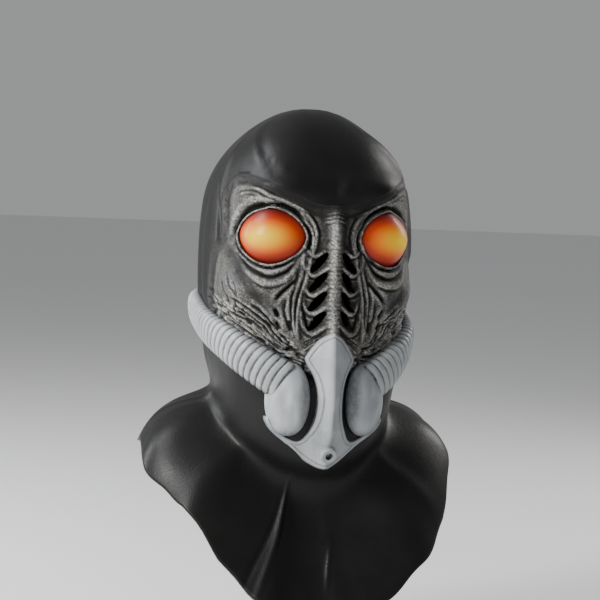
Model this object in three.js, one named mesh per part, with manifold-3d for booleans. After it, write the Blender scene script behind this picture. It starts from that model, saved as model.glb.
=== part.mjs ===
// Gas mask style costume mask: one moulded latex skin over head, neck and upper chest, with domed
// eye inlays, a keeled respirator plate, two filter pods, two ribbed hoses and a valve boss.
// Millimetres, +Z up, the face looks towards -Y, the origin is inside the top of the crown.
import * as THREE from "three";
import { mergeVertices } from "three/addons/utils/BufferGeometryUtils.js";
import Module from "manifold-3d";

const wasm = await Module();
wasm.setup();

// Head and skin sizes
const SKIN = 2.5;
const PIECE_GAP = 0.4;
const FACE_DROP = 296;
const HEAD_HALF_WIDTH = 87;
const HEAD_FRONT = 89;
const HEAD_BACK = 109;
const CORNER_POWER = 2.3;

// Distance round the face is measured in millimetres on this radius, positive to +X
const FACE_RADIUS = 92;

// Bib sizes: how far the hem hangs below the crown and how far it spreads
const HEM_FRONT_DROP = 412;
const HEM_SIDE_DROP = 304;
const HEM_BACK_DROP = 340;
const BIB_HALF_WIDTH = 133;
const BIB_FRONT = 106;
const BIB_BACK = 109;

// Eye inlays: place, half sizes, how deep the rim sits and how far the dome rises from it
const EYE_ACROSS = 0.598 * FACE_RADIUS;
const EYE_DOWN = 0.345 * FACE_DROP;
const EYE_HALF_LENGTH = 30.8;
const EYE_HALF_HEIGHT = 22;
const EYE_RIM_DEPTH = 5;
const EYE_DOME = 11;
const EYE_CORNER_POWER = 1.75;
const SOCKET_MARGIN = 4;
const SOCKET_DEPTH = 7;

// Nose ridge: half width, rise, top and bottom of its run and the length it fades over
const NOSE_HALF_WIDTH = 7;
const NOSE_RISE = 7;
const NOSE_TOP = 0.245 * FACE_DROP;
const NOSE_BOTTOM = 0.635 * FACE_DROP;
const NOSE_FADE = 10;

// Nose slits: half sizes, slant in degrees from level and the place of the top one
const SLIT_COUNT = 4;
const SLIT_HALF_LENGTH = 10;
const SLIT_HALF_WIDTH = 3.3;
const SLIT_SLANT = 50;
const SLIT_ACROSS = 13;
const SLIT_BELOW_EYE = 19;
const SLIT_TOP = EYE_DOWN + SLIT_BELOW_EYE;
const SLIT_PITCH = 15.2;

// Respirator plate
const PLATE_TOP = 0.591 * FACE_DROP;
const PLATE_HEIGHT = 109;
const PLATE_HALF_WIDTH = 48.5;
const PLATE_RISE = 14;
const PLATE_CREST = HEAD_FRONT + PLATE_RISE;
const PLATE_FALL = 24;
const PLATE_FALL_LENGTH = 20;
const PLATE_CREASE = 3;
const PLATE_DEPTH = 26;
const PLATE_MARGIN = 4;

// Filter pods
const POD_ACROSS = 0.65 * PLATE_HALF_WIDTH;
const POD_DOWN = PLATE_TOP + 0.495 * PLATE_HEIGHT;
const POD_SINK = 4.3;
const POD_HALF_WIDTH = 18.3;
const POD_HALF_DEPTH = 12;
const POD_HALF_HEIGHT = 29;
const POD_TURN = 35;

// Ribbed hoses
const HOSE_RIBS = 27;
const HOSE_FRONT_HALF_WIDTH = 16;
const HOSE_REAR_HALF_WIDTH = 12;
const HOSE_HEIGHT = 9;
const HOSE_GROOVE_DEPTH = 1.6;
const HOSE_ROOT = 4;
const HOSE_SIDES = 5;

// Valve boss
const VALVE_DOWN = PLATE_TOP + 0.875 * PLATE_HEIGHT;
const VALVE_RADIUS = 6.5;
const VALVE_BORE_RADIUS = 2.75;
const VALVE_CHAMFER = 1.2;
const VALVE_RISE = 4;
const VALVE_DEPTH = 9;
const VALVE_LEAN = 24;

// Facets round and down the skin
const COLUMNS = 40;
const HEAD_STEPS = 23;
const BIB_STEPS = 4;

// Rows of the head, in shares: drop at the front, side and back of FACE_DROP,
// then side, front and back reach of HEAD_HALF_WIDTH, HEAD_FRONT and HEAD_BACK
const HEAD_ROWS = [
  [0, 0, 0, 0, 0, 0],
  [0.0015, 0.0015, 0.0015, 0.18, 0.22, 0.22],
  [0.03, 0.03, 0.03, 0.4, 0.43, 0.41],
  [0.08, 0.08, 0.08, 0.62, 0.67, 0.64],
  [0.145, 0.145, 0.145, 0.82, 0.865, 0.835],
  [0.225, 0.225, 0.225, 0.93, 0.955, 0.955],
  [0.31, 0.31, 0.31, 0.965, 0.98, 0.99],
  [0.4, 0.4, 0.4, 0.975, 0.98, 0.99],
  [0.485, 0.485, 0.485, 0.97, 0.985, 0.965],
  [0.575, 0.57, 0.56, 0.955, 1, 0.9],
  [0.66, 0.64, 0.625, 0.92, 1, 0.825],
  [0.755, 0.705, 0.675, 0.89, 0.985, 0.77],
  [0.85, 0.75, 0.715, 0.85, 0.965, 0.715],
  [0.93, 0.78, 0.745, 0.83, 0.9, 0.69],
  [0.975, 0.8, 0.765, 0.83, 0.79, 0.68],
  [1.005, 0.82, 0.785, 0.85, 0.7, 0.69],
];

// Rows of the bib, as shares of the way from the last head row to the full hem, same columns
const BIB_ROWS = [
  [0.16, 0.07, 0.13, 0.2, -0.1, 0.12],
  [0.37, 0.16, 0.33, 0.49, 0.1, 0.38],
  [0.6, 0.33, 0.59, 0.75, 0.4, 0.68],
  [0.81, 0.61, 0.81, 0.915, 0.72, 0.85],
  [1, 1, 1, 1, 1, 1],
];

// Cut of the hem: degrees round from the front, share of the bib that is kept
const HEM_CUT = [
  [-180, 1],
  [-120, 0.85],
  [-100, 0.8],
  [-80, 0.85],
  [-60, 0.8],
  [-45, 0.9],
  [-30, 0.93],
  [-10, 0.98],
  [10, 1],
  [30, 0.97],
  [60, 0.9],
  [80, 0.75],
  [100, 0.7],
  [120, 0.8],
  [180, 1],
];

// Swells and hollows of both sides of the face: brow, cheekbone, side of the nose, cheek, mouth.
// Degrees round, share of FACE_DROP down, half width in degrees, half height as a share, rise
const SWELL_RISE = 6;
const SWELLS = [
  [28.6, 0.216, 25, 0.044, 1],
  [42.3, 0.483, 16, 0.047, 0.85],
  [15, 0.527, 10, 0.095, -0.65],
  [38.6, 0.581, 18.7, 0.04, -0.5],
  [26.2, 0.75, 21, 0.115, -1],
];

// Folds of the bib: degrees round, half width in degrees, share of FOLD_RISE at the hem
const FOLD_RISE = 7;
const BIB_FOLDS = [
  [-152, 12, 0.85],
  [-112, 13, 0.85],
  [-82, 10, 0.8],
  [-55, 11, 1],
  [-25, 6, 0.8],
  [8, 6, 0.35],
  [44, 10, 0.8],
  [84, 12, 0.85],
  [128, 13, 0.85],
  [168, 12, 0.7],
];

// Half outline of the plate from the top round to the tip, in shares of half width and height
const PLATE_OUTLINE = [
  [0, 0],
  [0.2, 0.055],
  [0.38, 0.165],
  [0.4, 0.215],
  [0.26, 0.33],
  [0.195, 0.46],
  [0.215, 0.615],
  [0.31, 0.73],
  [0.44, 0.8],
  [0.66, 0.765],
  [0.85, 0.685],
  [0.965, 0.615],
  [1, 0.635],
  [0.86, 0.735],
  [0.6, 0.83],
  [0.32, 0.94],
  [0.12, 0.99],
  [0, 1],
];

// Crest of the plate from the side: share of the height, share of PLATE_CREST
const PLATE_PROFILE = [
  [0, 0.945],
  [0.18, 0.98],
  [0.46, 1],
  [0.7, 0.975],
  [0.87, 0.9],
  [1, 0.83],
];

// Centre line of a hose from the pod to behind the ear: degrees round, share of FACE_DROP down
const HOSE_LINE = [
  [26, 0.72],
  [43.6, 0.672],
  [61, 0.632],
  [81, 0.601],
  [103, 0.571],
  [122, 0.552],
];

const COLLAR_ROW = HEAD_ROWS.length - 1;
const HEAD_SIZES = [FACE_DROP, FACE_DROP, FACE_DROP, HEAD_HALF_WIDTH, HEAD_FRONT, HEAD_BACK];
const HEM_SIZES = [HEM_FRONT_DROP, HEM_SIDE_DROP, HEM_BACK_DROP, BIB_HALF_WIDTH, BIB_FRONT, BIB_BACK];

// Rows of the whole skin in millimetres, with one more row beyond each end for the curve
function controlRows() {
  const head = HEAD_ROWS.map((row) => row.map((share, i) => share * HEAD_SIZES[i]));
  const collar = head[COLLAR_ROW];
  const bib = BIB_ROWS.map((row) => row.map((share, i) => collar[i] + share * (HEM_SIZES[i] - collar[i])));
  const rows = [...head, ...bib];
  const beforeFirst = rows[1].map((value, i) => (i < 3 ? value : -value));
  const last = rows[rows.length - 1];
  const afterLast = last.map((value, i) => 2 * value - rows[rows.length - 2][i]);
  return [beforeFirst, ...rows, afterLast];
}

const CONTROL = controlRows();
const LAST_ROW = CONTROL.length - 3;

// Drops and reaches of the skin at a place between the rows, on a smooth curve through them
function section(place) {
  const k = Math.min(Math.floor(place), LAST_ROW - 1);
  const f = place - k;
  const weights = [
    (1 - f) ** 3 / 6,
    (3 * f ** 3 - 6 * f ** 2 + 4) / 6,
    (-3 * f ** 3 + 3 * f ** 2 + 3 * f + 1) / 6,
    f ** 3 / 6,
  ];
  return CONTROL[k].map((_, column) => {
    return weights.reduce((sum, weight, i) => sum + weight * CONTROL[k + i][column], 0);
  });
}

// Point of the plain head shape at an angle round from the front and a place down the rows
function basePoint(angle, place) {
  const [frontDrop, sideDrop, backDrop, side, front, back] = section(place);
  const c = Math.cos(angle);
  const d = Math.sin(angle);
  const drop = frontDrop * c * (c + 1) / 2 + sideDrop * (1 - c * c) + backDrop * c * (c - 1) / 2;
  const depth = back + (front - back) * (1 + c) / 2;
  const wide = Math.abs(d / Math.max(side, 0.001)) ** CORNER_POWER;
  const deep = Math.abs(c / Math.max(depth, 0.001)) ** CORNER_POWER;
  const reach = (wide + deep) ** (-1 / CORNER_POWER);
  return new THREE.Vector3(reach * d, -reach * c, SKIN - drop);
}

// Outward direction of the plain head shape
function baseNormal(angle, place) {
  if (place < 0.05) return new THREE.Vector3(0, 0, 1);
  const step = 0.02;
  const lower = Math.min(place + step, LAST_ROW);
  const round = basePoint(angle + step, place).sub(basePoint(angle - step, place));
  const down = basePoint(angle, lower).sub(basePoint(angle, place - step));
  return down.cross(round).normalize();
}

// Smooth bump that is 1 in the middle and fades out past one half width
function bump(distance) {
  return Math.exp(-1.2 * distance * distance);
}

function smoothStep(low, high, value) {
  const t = Math.min(Math.max((value - low) / (high - low), 0), 1);
  return t * t * (3 - 2 * t);
}

// Rise of the sculpted skin over the plain head shape
function relief(angle, drop, place) {
  const degrees = THREE.MathUtils.radToDeg(angle);
  const across = Math.abs(angle) * FACE_RADIUS;
  const level = drop / FACE_DROP;
  let rise = 0;
  for (const [centre, down, halfWidth, halfHeight, share] of SWELLS) {
    const spread = bump((Math.abs(degrees) - centre) / halfWidth) * bump((level - down) / halfHeight);
    rise += SWELL_RISE * share * spread;
  }
  const socketAcross = bump((across - EYE_ACROSS) / (EYE_HALF_LENGTH + SOCKET_MARGIN));
  const socketDown = bump((drop - EYE_DOWN) / (EYE_HALF_HEIGHT + SOCKET_MARGIN));
  rise -= SOCKET_DEPTH * socketAcross * socketDown;
  const belowTop = smoothStep(NOSE_TOP - NOSE_FADE, NOSE_TOP + NOSE_FADE, drop);
  const aboveBottom = 1 - smoothStep(NOSE_BOTTOM - NOSE_FADE, NOSE_BOTTOM, drop);
  rise += NOSE_RISE * bump(across / NOSE_HALF_WIDTH) * belowTop * aboveBottom;
  const bibShare = Math.max(place - COLLAR_ROW, 0) / (LAST_ROW - COLLAR_ROW);
  for (const [centre, halfWidth, share] of BIB_FOLDS) {
    rise += FOLD_RISE * share * bibShare * bump((degrees - centre) / halfWidth);
  }
  return rise;
}

// Point of the sculpted skin, moved outward by an offset
function skinPoint(angle, place, offset) {
  const point = basePoint(angle, place);
  const rise = relief(angle, SKIN - point.z, place) + offset;
  return point.addScaledVector(baseNormal(angle, place), rise);
}

// Point over the plain head shape at a distance across and down the face
function facePoint(across, down, offset) {
  const angle = across / FACE_RADIUS;
  let high = 0;
  let low = COLLAR_ROW;
  for (let i = 0; i < 30; i += 1) {
    const middle = (high + low) / 2;
    if (SKIN - basePoint(angle, middle).z < down) high = middle;
    else low = middle;
  }
  return basePoint(angle, high).addScaledVector(baseNormal(angle, high), offset);
}

// Value read off a short table of pairs, on straight lines between them
function readTable(table, key) {
  const after = table.findIndex((row) => row[0] >= key);
  if (after <= 0) return table[after === 0 ? 0 : table.length - 1][1];
  const [x0, y0] = table[after - 1];
  const [x1, y1] = table[after];
  return y0 + (y1 - y0) * (key - x0) / (x1 - x0);
}

// Solid from indexed triangles, turned the right way out
function solidOf(points, triangles) {
  let volume = 0;
  for (const [a, b, c] of triangles) {
    volume += points[a].dot(new THREE.Vector3().crossVectors(points[b], points[c]));
  }
  const ordered = volume > 0 ? triangles : triangles.map(([a, b, c]) => [a, c, b]);
  const vertProperties = new Float32Array(points.flatMap((p) => [p.x, p.y, p.z]));
  const triVerts = new Uint32Array(ordered.flat());
  return new wasm.Manifold(new wasm.Mesh({ numProp: 3, vertProperties, triVerts }));
}

// Closed solid through rings of points; two end points close it, or the last ring meets the first
function ringSolid(rings, ends) {
  const count = rings[0].length;
  const points = rings.flat();
  const triangles = [];
  const bands = ends ? rings.length - 1 : rings.length;
  for (let j = 0; j < bands; j += 1) {
    const here = j * count;
    const next = ((j + 1) % rings.length) * count;
    for (let i = 0; i < count; i += 1) {
      const k = (i + 1) % count;
      triangles.push([here + i, here + k, next + i], [here + k, next + k, next + i]);
    }
  }
  if (ends) {
    const lastRing = (rings.length - 1) * count;
    points.push(...ends);
    for (let i = 0; i < count; i += 1) {
      const k = (i + 1) % count;
      triangles.push([points.length - 2, k, i], [points.length - 1, lastRing + i, lastRing + k]);
    }
  }
  return solidOf(points, triangles);
}

function middleOf(ring) {
  const sum = new THREE.Vector3();
  for (const point of ring) sum.add(point);
  return sum.divideScalar(ring.length);
}

// Angles round the head, closer together over the face
function columnAngles() {
  const angles = [];
  for (let i = 0; i < COLUMNS; i += 1) {
    const t = -Math.PI + 2 * Math.PI * i / COLUMNS;
    angles.push(t - 0.52 * Math.sin(t));
  }
  return angles;
}

const ANGLES = columnAngles();

// Rings of the skin from the crown to the collar or to the cut hem
function skinRings(offset, withBib) {
  const rings = [];
  for (let j = 1; j <= HEAD_STEPS; j += 1) {
    const place = COLLAR_ROW * j / HEAD_STEPS;
    rings.push(ANGLES.map((angle) => skinPoint(angle, place, offset)));
  }
  for (let j = 1; withBib && j <= BIB_STEPS; j += 1) {
    rings.push(ANGLES.map((angle) => {
      const kept = readTable(HEM_CUT, THREE.MathUtils.radToDeg(angle));
      const place = COLLAR_ROW + (LAST_ROW - COLLAR_ROW) * kept * j / BIB_STEPS;
      return skinPoint(angle, place, offset);
    }));
  }
  return rings;
}

// The hood as one closed skin, outside down to the hem and inside back up
function openSkin() {
  const outside = skinRings(0, true);
  const inside = skinRings(-SKIN, true).reverse();
  const ends = [skinPoint(0, 0, 0), skinPoint(0, 0, -SKIN)];
  return ringSolid([...outside, ...inside], ends);
}

// The head filled in to well below the collar, for seating the pieces on the skin
function filledHead(offset) {
  const rings = skinRings(offset, false);
  const foot = middleOf(rings[rings.length - 1]);
  foot.z -= FACE_DROP;
  return ringSolid(rings, [skinPoint(0, 0, offset), foot]);
}

// Outline of an eye on the face, from one corner round
function eyeOutline(side, share, grow) {
  const outline = [];
  const count = 24;
  for (let i = 0; i < count; i += 1) {
    const t = 2 * Math.PI * i / count;
    const c = Math.cos(t);
    const s = Math.sin(t);
    const power = 2 / EYE_CORNER_POWER;
    const x = Math.sign(c) * Math.abs(c) ** power * (EYE_HALF_LENGTH * share + grow);
    const y = Math.sign(s) * Math.abs(s) ** power * (EYE_HALF_HEIGHT * share + grow);
    outline.push([side * (EYE_ACROSS + x), EYE_DOWN + y]);
  }
  return outline;
}

// Solid standing over an outline on the face, through the whole thickness of the skin
function facePlug(outline) {
  const offsets = [EYE_DOME, -EYE_RIM_DEPTH, -EYE_RIM_DEPTH - 4 * SKIN];
  const rings = offsets.map((offset) => outline.map(([x, down]) => facePoint(x, down, offset)));
  return ringSolid(rings, [middleOf(rings[0]), middleOf(rings[2])]);
}

function eyeInlay(side) {
  const shares = [0.4, 0.75, 1];
  const rise = (share) => EYE_DOME * (1 - share * share) - EYE_RIM_DEPTH;
  const layer = (offset) => shares.map((share) => {
    return eyeOutline(side, share, 0).map(([x, down]) => facePoint(x, down, rise(share) + offset));
  });
  const ends = [0, -SKIN].map((offset) => facePoint(side * EYE_ACROSS, EYE_DOWN, rise(0) + offset));
  return ringSolid([...layer(0), ...layer(-SKIN).reverse()], ends);
}

function slitOutline(side, row) {
  const slant = THREE.MathUtils.degToRad(SLIT_SLANT);
  const outline = [];
  const count = 12;
  for (let i = 0; i < count; i += 1) {
    const t = 2 * Math.PI * i / count;
    const along = SLIT_HALF_LENGTH * Math.cos(t);
    const wide = SLIT_HALF_WIDTH * Math.sin(t);
    const x = SLIT_ACROSS - along * Math.cos(slant) + wide * Math.sin(slant);
    const down = SLIT_TOP + row * SLIT_PITCH - along * Math.sin(slant) - wide * Math.cos(slant);
    outline.push([side * x, down]);
  }
  return outline;
}

// Forward reach of the plate at a place across and down the face
function plateReach(x, down) {
  const crest = PLATE_CREST * readTable(PLATE_PROFILE, (down - PLATE_TOP) / PLATE_HEIGHT);
  const away = Math.hypot(x, PLATE_CREASE) - PLATE_CREASE;
  return crest - PLATE_FALL * (1 - Math.exp(-away / PLATE_FALL_LENGTH));
}

// Block behind the keeled front of the plate, larger than its outline
function plateBlock() {
  const across = 17;
  const rows = 12;
  const rings = [];
  for (let j = 0; j < rows; j += 1) {
    const down = PLATE_TOP - PLATE_MARGIN + (PLATE_HEIGHT + 2 * PLATE_MARGIN) * j / (rows - 1);
    const front = [];
    const back = [];
    for (let i = 0; i < across; i += 1) {
      const t = 2 * i / (across - 1) - 1;
      const x = (PLATE_HALF_WIDTH + PLATE_MARGIN) * t * (0.35 + 0.65 * Math.abs(t));
      const reach = plateReach(x, down);
      front.push(new THREE.Vector3(x, -reach, SKIN - down));
      back.push(new THREE.Vector3(x, PLATE_DEPTH - reach, SKIN - down));
    }
    rings.push([...front, ...back.reverse()]);
  }
  const centre = (across - 1) / 2;
  const ends = [rings[0], rings[rows - 1]].map((ring) => middleOf([ring[centre], ring[across + centre]]));
  return ringSolid(rings, ends);
}

function platePrism() {
  const half = new THREE.SplineCurve(PLATE_OUTLINE.map(([x, y]) => {
    return new THREE.Vector2(x * PLATE_HALF_WIDTH, SKIN - PLATE_TOP - y * PLATE_HEIGHT);
  }));
  const right = half.getPoints(40);
  const left = right.slice(1, -1).reverse().map((p) => new THREE.Vector2(-p.x, p.y));
  const outline = new THREE.Shape([...right, ...left]);
  const body = new THREE.ExtrudeGeometry(outline, { depth: 2 * PLATE_CREST, bevelEnabled: false });
  body.rotateX(Math.PI / 2);
  return manifoldOf(body);
}

// Solid from a closed three.js body
function manifoldOf(body) {
  body.deleteAttribute("normal");
  body.deleteAttribute("uv");
  const merged = mergeVertices(body, 0.0001);
  const vertProperties = new Float32Array(merged.attributes.position.array);
  const triVerts = new Uint32Array(merged.index.array);
  return new wasm.Manifold(new wasm.Mesh({ numProp: 3, vertProperties, triVerts }));
}

function pod(side, grow) {
  const turn = THREE.MathUtils.degToRad(POD_TURN);
  const forward = plateReach(POD_ACROSS, POD_DOWN) - POD_SINK;
  const place = (x, y, z) => new THREE.Vector3(
    side * (POD_ACROSS + x * Math.cos(turn) + y * Math.sin(turn)),
    x * Math.sin(turn) - y * Math.cos(turn) - forward,
    SKIN - POD_DOWN + z,
  );
  const rings = [];
  for (let j = 1; j < 10; j += 1) {
    const tilt = Math.PI * j / 10;
    const ring = [];
    for (let i = 0; i < 20; i += 1) {
      const t = 2 * Math.PI * i / 20;
      const x = (POD_HALF_WIDTH + grow) * Math.sin(tilt) * Math.cos(t);
      const y = (POD_HALF_DEPTH + grow) * Math.sin(tilt) * Math.sin(t);
      ring.push(place(x, y, (POD_HALF_HEIGHT + grow) * Math.cos(tilt)));
    }
    rings.push(ring);
  }
  return ringSolid(rings, [place(0, 0, POD_HALF_HEIGHT + grow), place(0, 0, -POD_HALF_HEIGHT - grow)]);
}

// One ribbed hose: rings across its line, each a flat-topped arch rooted in the skin
function hose(side, grow) {
  const line = new THREE.SplineCurve(HOSE_LINE.map(([degrees, share]) => {
    return new THREE.Vector2(THREE.MathUtils.degToRad(degrees) * FACE_RADIUS, share * FACE_DROP);
  }));
  const grooves = [0, HOSE_GROOVE_DEPTH, 0];
  const spots = [0, 0.12, 0.24];
  const rings = [];
  for (let rib = 0; rib <= HOSE_RIBS; rib += 1) {
    for (let k = 0; k < (rib < HOSE_RIBS ? 3 : 1); k += 1) {
      const t = (rib + spots[k]) / HOSE_RIBS;
      rings.push(hoseRing(side, line, t, HOSE_HEIGHT - grooves[k] + grow, grow));
    }
  }
  return ringSolid(rings, [middleOf(rings[0]), middleOf(rings[rings.length - 1])]);
}

function hoseRing(side, line, t, height, grow) {
  const centre = line.getPointAt(t);
  const along = line.getTangentAt(t);
  const halfWidth = THREE.MathUtils.lerp(HOSE_FRONT_HALF_WIDTH, HOSE_REAR_HALF_WIDTH, t) + grow;
  const endStretch = grow * (2 * t - 1);
  const ring = [];
  for (let i = 0; i <= HOSE_SIDES; i += 1) {
    const turn = Math.PI * i / HOSE_SIDES;
    const wide = -halfWidth * Math.sign(Math.cos(turn)) * Math.abs(Math.cos(turn)) ** 0.8;
    const atRoot = i === 0 || i === HOSE_SIDES;
    const rise = atRoot ? -HOSE_ROOT : height * Math.sin(turn) ** 0.6;
    const x = centre.x - along.y * wide + along.x * endStretch;
    const down = centre.y + along.x * wide + along.y * endStretch;
    ring.push(facePoint(side * x, down, rise));
  }
  return ring;
}

function valveTube(grow) {
  const lean = THREE.MathUtils.degToRad(VALVE_LEAN);
  const centre = new THREE.Vector3(0, -plateReach(0, VALVE_DOWN), SKIN - VALVE_DOWN);
  const outward = new THREE.Vector3(0, -Math.cos(lean), -Math.sin(lean));
  const upward = new THREE.Vector3(0, -Math.sin(lean), Math.cos(lean));
  const outer = VALVE_RADIUS + grow;
  const steps = [
    [outer, -VALVE_DEPTH - grow],
    [outer, VALVE_RISE - VALVE_CHAMFER],
    [outer - VALVE_CHAMFER, VALVE_RISE],
    [VALVE_BORE_RADIUS, VALVE_RISE],
    [VALVE_BORE_RADIUS, -VALVE_DEPTH - grow],
  ];
  const ringAt = (radius, height) => {
    const ring = [];
    for (let i = 0; i < 24; i += 1) {
      const t = 2 * Math.PI * i / 24;
      const point = centre.clone().addScaledVector(outward, height);
      point.addScaledVector(upward, radius * Math.sin(t));
      point.x += radius * Math.cos(t);
      ring.push(point);
    }
    return ring;
  };
  if (grow > 0) {
    const rings = [ringAt(outer, -VALVE_DEPTH - grow), ringAt(outer, 2 * VALVE_RISE)];
    return ringSolid(rings, rings.map(middleOf));
  }
  return ringSolid(steps.map(([radius, height]) => ringAt(radius, height)), null);
}

// The hood: skin, less the eye openings and the nose slits
function hoodSolid() {
  let body = openSkin();
  for (const side of [-1, 1]) {
    body = body.subtract(facePlug(eyeOutline(side, 1, PIECE_GAP)));
    for (let row = 0; row < SLIT_COUNT; row += 1) {
      body = body.subtract(facePlug(slitOutline(side, row)));
    }
  }
  return body;
}

const seat = filledHead(PIECE_GAP);
const sides = { right: -1, left: 1 };

function podSolid(side) {
  return pod(side, 0).subtract(seat);
}

function hoseSolid(side) {
  return hose(side, 0).subtract(seat).subtract(pod(side, PIECE_GAP));
}

function plateSolid() {
  let body = plateBlock().intersect(platePrism()).subtract(seat);
  for (const side of [-1, 1]) {
    body = body.subtract(pod(side, PIECE_GAP)).subtract(hose(side, PIECE_GAP));
  }
  return body.subtract(valveTube(PIECE_GAP));
}

const LATEX = { color: 0x1b1c1e, roughness: 0.42, metalness: 0 };
const PAINT = { color: 0xe8641c, roughness: 0.18, metalness: 0, emissive: 0x7a1c04 };
const RESPIRATOR = { color: 0x8d8f92, roughness: 0.5, metalness: 0 };

const mask = new THREE.Group();
mask.name = "gas_mask_costume_mask";

function addPiece(name, solid, look) {
  const { vertProperties, triVerts } = solid.getMesh();
  const geometry = new THREE.BufferGeometry();
  geometry.setAttribute("position", new THREE.BufferAttribute(new Float32Array(vertProperties), 3));
  geometry.setIndex(new THREE.BufferAttribute(new Uint32Array(triVerts), 1));
  geometry.computeVertexNormals();
  const mesh = new THREE.Mesh(geometry, new THREE.MeshStandardMaterial(look));
  mesh.name = name;
  mask.add(mesh);
}

addPiece("hood", hoodSolid(), LATEX);
for (const [name, side] of Object.entries(sides)) {
  addPiece(`eye_${name}`, eyeInlay(side), PAINT);
  addPiece(`pod_${name}`, podSolid(side), RESPIRATOR);
  addPiece(`hose_${name}`, hoseSolid(side), RESPIRATOR);
}
addPiece("respirator_plate", plateSolid(), RESPIRATOR);
addPiece("valve", valveTube(0), RESPIRATOR);

export default mask;
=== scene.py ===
"""Gas mask style costume mask: a glossy black latex hood with a sculpted, dry-brushed face, domed
painted eyes and a grey respirator of keeled plate, filter pods, ribbed hoses and valve boss.

Shapes are worked out in millimetres, +Z up, the face looks towards -Y. Places on the face are
given as distance across (on FACE_RADIUS round the head) and distance down from the crown."""

import math

import bmesh
import bpy
import numpy as np
from mathutils import Matrix, Vector


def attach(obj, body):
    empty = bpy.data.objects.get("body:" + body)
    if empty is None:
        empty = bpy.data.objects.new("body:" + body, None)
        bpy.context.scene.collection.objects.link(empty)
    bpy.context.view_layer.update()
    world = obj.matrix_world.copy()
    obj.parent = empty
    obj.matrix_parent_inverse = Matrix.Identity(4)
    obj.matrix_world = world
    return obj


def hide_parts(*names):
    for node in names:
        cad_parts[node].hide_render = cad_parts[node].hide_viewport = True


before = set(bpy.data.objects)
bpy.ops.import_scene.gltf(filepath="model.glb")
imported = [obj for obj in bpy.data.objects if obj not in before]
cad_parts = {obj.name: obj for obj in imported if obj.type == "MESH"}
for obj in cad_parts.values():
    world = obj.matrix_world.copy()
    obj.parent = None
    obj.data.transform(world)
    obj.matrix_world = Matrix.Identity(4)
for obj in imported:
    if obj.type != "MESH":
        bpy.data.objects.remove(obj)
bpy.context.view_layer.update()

MM = 0.001

# Head and skin
SKIN = 2.5
FACE_DROP = 296
HEAD_HALF_WIDTH = 87
HEAD_FRONT = 89
HEAD_BACK = 109
CORNER_POWER = 2.3
FACE_RADIUS = 92
HEM_FRONT_DROP = 412
HEM_SIDE_DROP = 304
HEM_BACK_DROP = 340
BIB_HALF_WIDTH = 133
BIB_FRONT = 106
BIB_BACK = 109

# Rows of the head in shares: drop at front, side and back, then side, front and back reach
HEAD_ROWS = [
    (0, 0, 0, 0, 0, 0),
    (0.0015, 0.0015, 0.0015, 0.18, 0.22, 0.22),
    (0.03, 0.03, 0.03, 0.4, 0.43, 0.41),
    (0.08, 0.08, 0.08, 0.62, 0.67, 0.64),
    (0.145, 0.145, 0.145, 0.82, 0.865, 0.835),
    (0.225, 0.225, 0.225, 0.93, 0.955, 0.955),
    (0.31, 0.31, 0.31, 0.965, 0.98, 0.99),
    (0.4, 0.4, 0.4, 0.975, 0.98, 0.99),
    (0.485, 0.485, 0.485, 0.97, 0.985, 0.965),
    (0.575, 0.57, 0.56, 0.955, 1, 0.9),
    (0.66, 0.64, 0.625, 0.92, 1, 0.825),
    (0.755, 0.705, 0.675, 0.89, 0.985, 0.77),
    (0.85, 0.75, 0.715, 0.85, 0.965, 0.715),
    (0.93, 0.78, 0.745, 0.83, 0.9, 0.69),
    (0.975, 0.8, 0.765, 0.83, 0.79, 0.68),
    (1.005, 0.82, 0.785, 0.85, 0.7, 0.69),
]

# Rows of the bib, as shares of the way from the last head row to the full hem
BIB_ROWS = [
    (0.16, 0.07, 0.13, 0.2, -0.1, 0.12),
    (0.37, 0.16, 0.33, 0.49, 0.1, 0.38),
    (0.6, 0.33, 0.59, 0.75, 0.4, 0.68),
    (0.81, 0.61, 0.81, 0.915, 0.72, 0.85),
    (1, 1, 1, 1, 1, 1),
]

# Cut of the hem: degrees round from the front, share of the bib that is kept
HEM_CUT = [
    (-180, 1), (-120, 0.85), (-100, 0.8), (-80, 0.85), (-60, 0.8), (-45, 0.9), (-30, 0.93), (-10, 0.98),
    (10, 1), (30, 0.97), (60, 0.9), (80, 0.75), (100, 0.7), (120, 0.8), (180, 1),
]

# Swells and hollows: degrees round, share of FACE_DROP down, half width in degrees, half height, rise
SWELL_RISE = 6
SWELLS = [
    (28.6, 0.216, 25, 0.044, 1),
    (42.3, 0.483, 16, 0.047, 0.85),
    (15, 0.527, 10, 0.095, -0.65),
    (38.6, 0.581, 18.7, 0.04, -0.5),
    (26.2, 0.75, 21, 0.115, -1),
]

# Folds of the bib: degrees round, half width in degrees, share of FOLD_RISE at the hem
FOLD_RISE = 7
BIB_FOLDS = [
    (-152, 12, 0.85), (-112, 13, 0.85), (-82, 10, 0.8), (-55, 11, 1), (-25, 6, 0.8),
    (8, 6, 0.35), (44, 10, 0.8), (84, 12, 0.85), (128, 13, 0.85), (168, 12, 0.7),
]

# Eyes, nose ridge and slits
EYE_ACROSS = 0.598 * FACE_RADIUS
EYE_DOWN = 0.345 * FACE_DROP
EYE_HALF_LENGTH = 30.8
EYE_HALF_HEIGHT = 22
EYE_RIM_DEPTH = 5
EYE_DOME = 11
EYE_CORNER_POWER = 1.75
SOCKET_MARGIN = 4
SOCKET_DEPTH = 7
NOSE_HALF_WIDTH = 7
NOSE_RISE = 7
NOSE_TOP = 0.245 * FACE_DROP
NOSE_BOTTOM = 0.635 * FACE_DROP
NOSE_FADE = 10
SLIT_COUNT = 4
SLIT_HALF_LENGTH = 10
SLIT_HALF_WIDTH = 3.3
SLIT_SLANT = math.radians(50)
SLIT_ACROSS = 13
SLIT_TOP = EYE_DOWN + 19
SLIT_PITCH = 15.2

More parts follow.
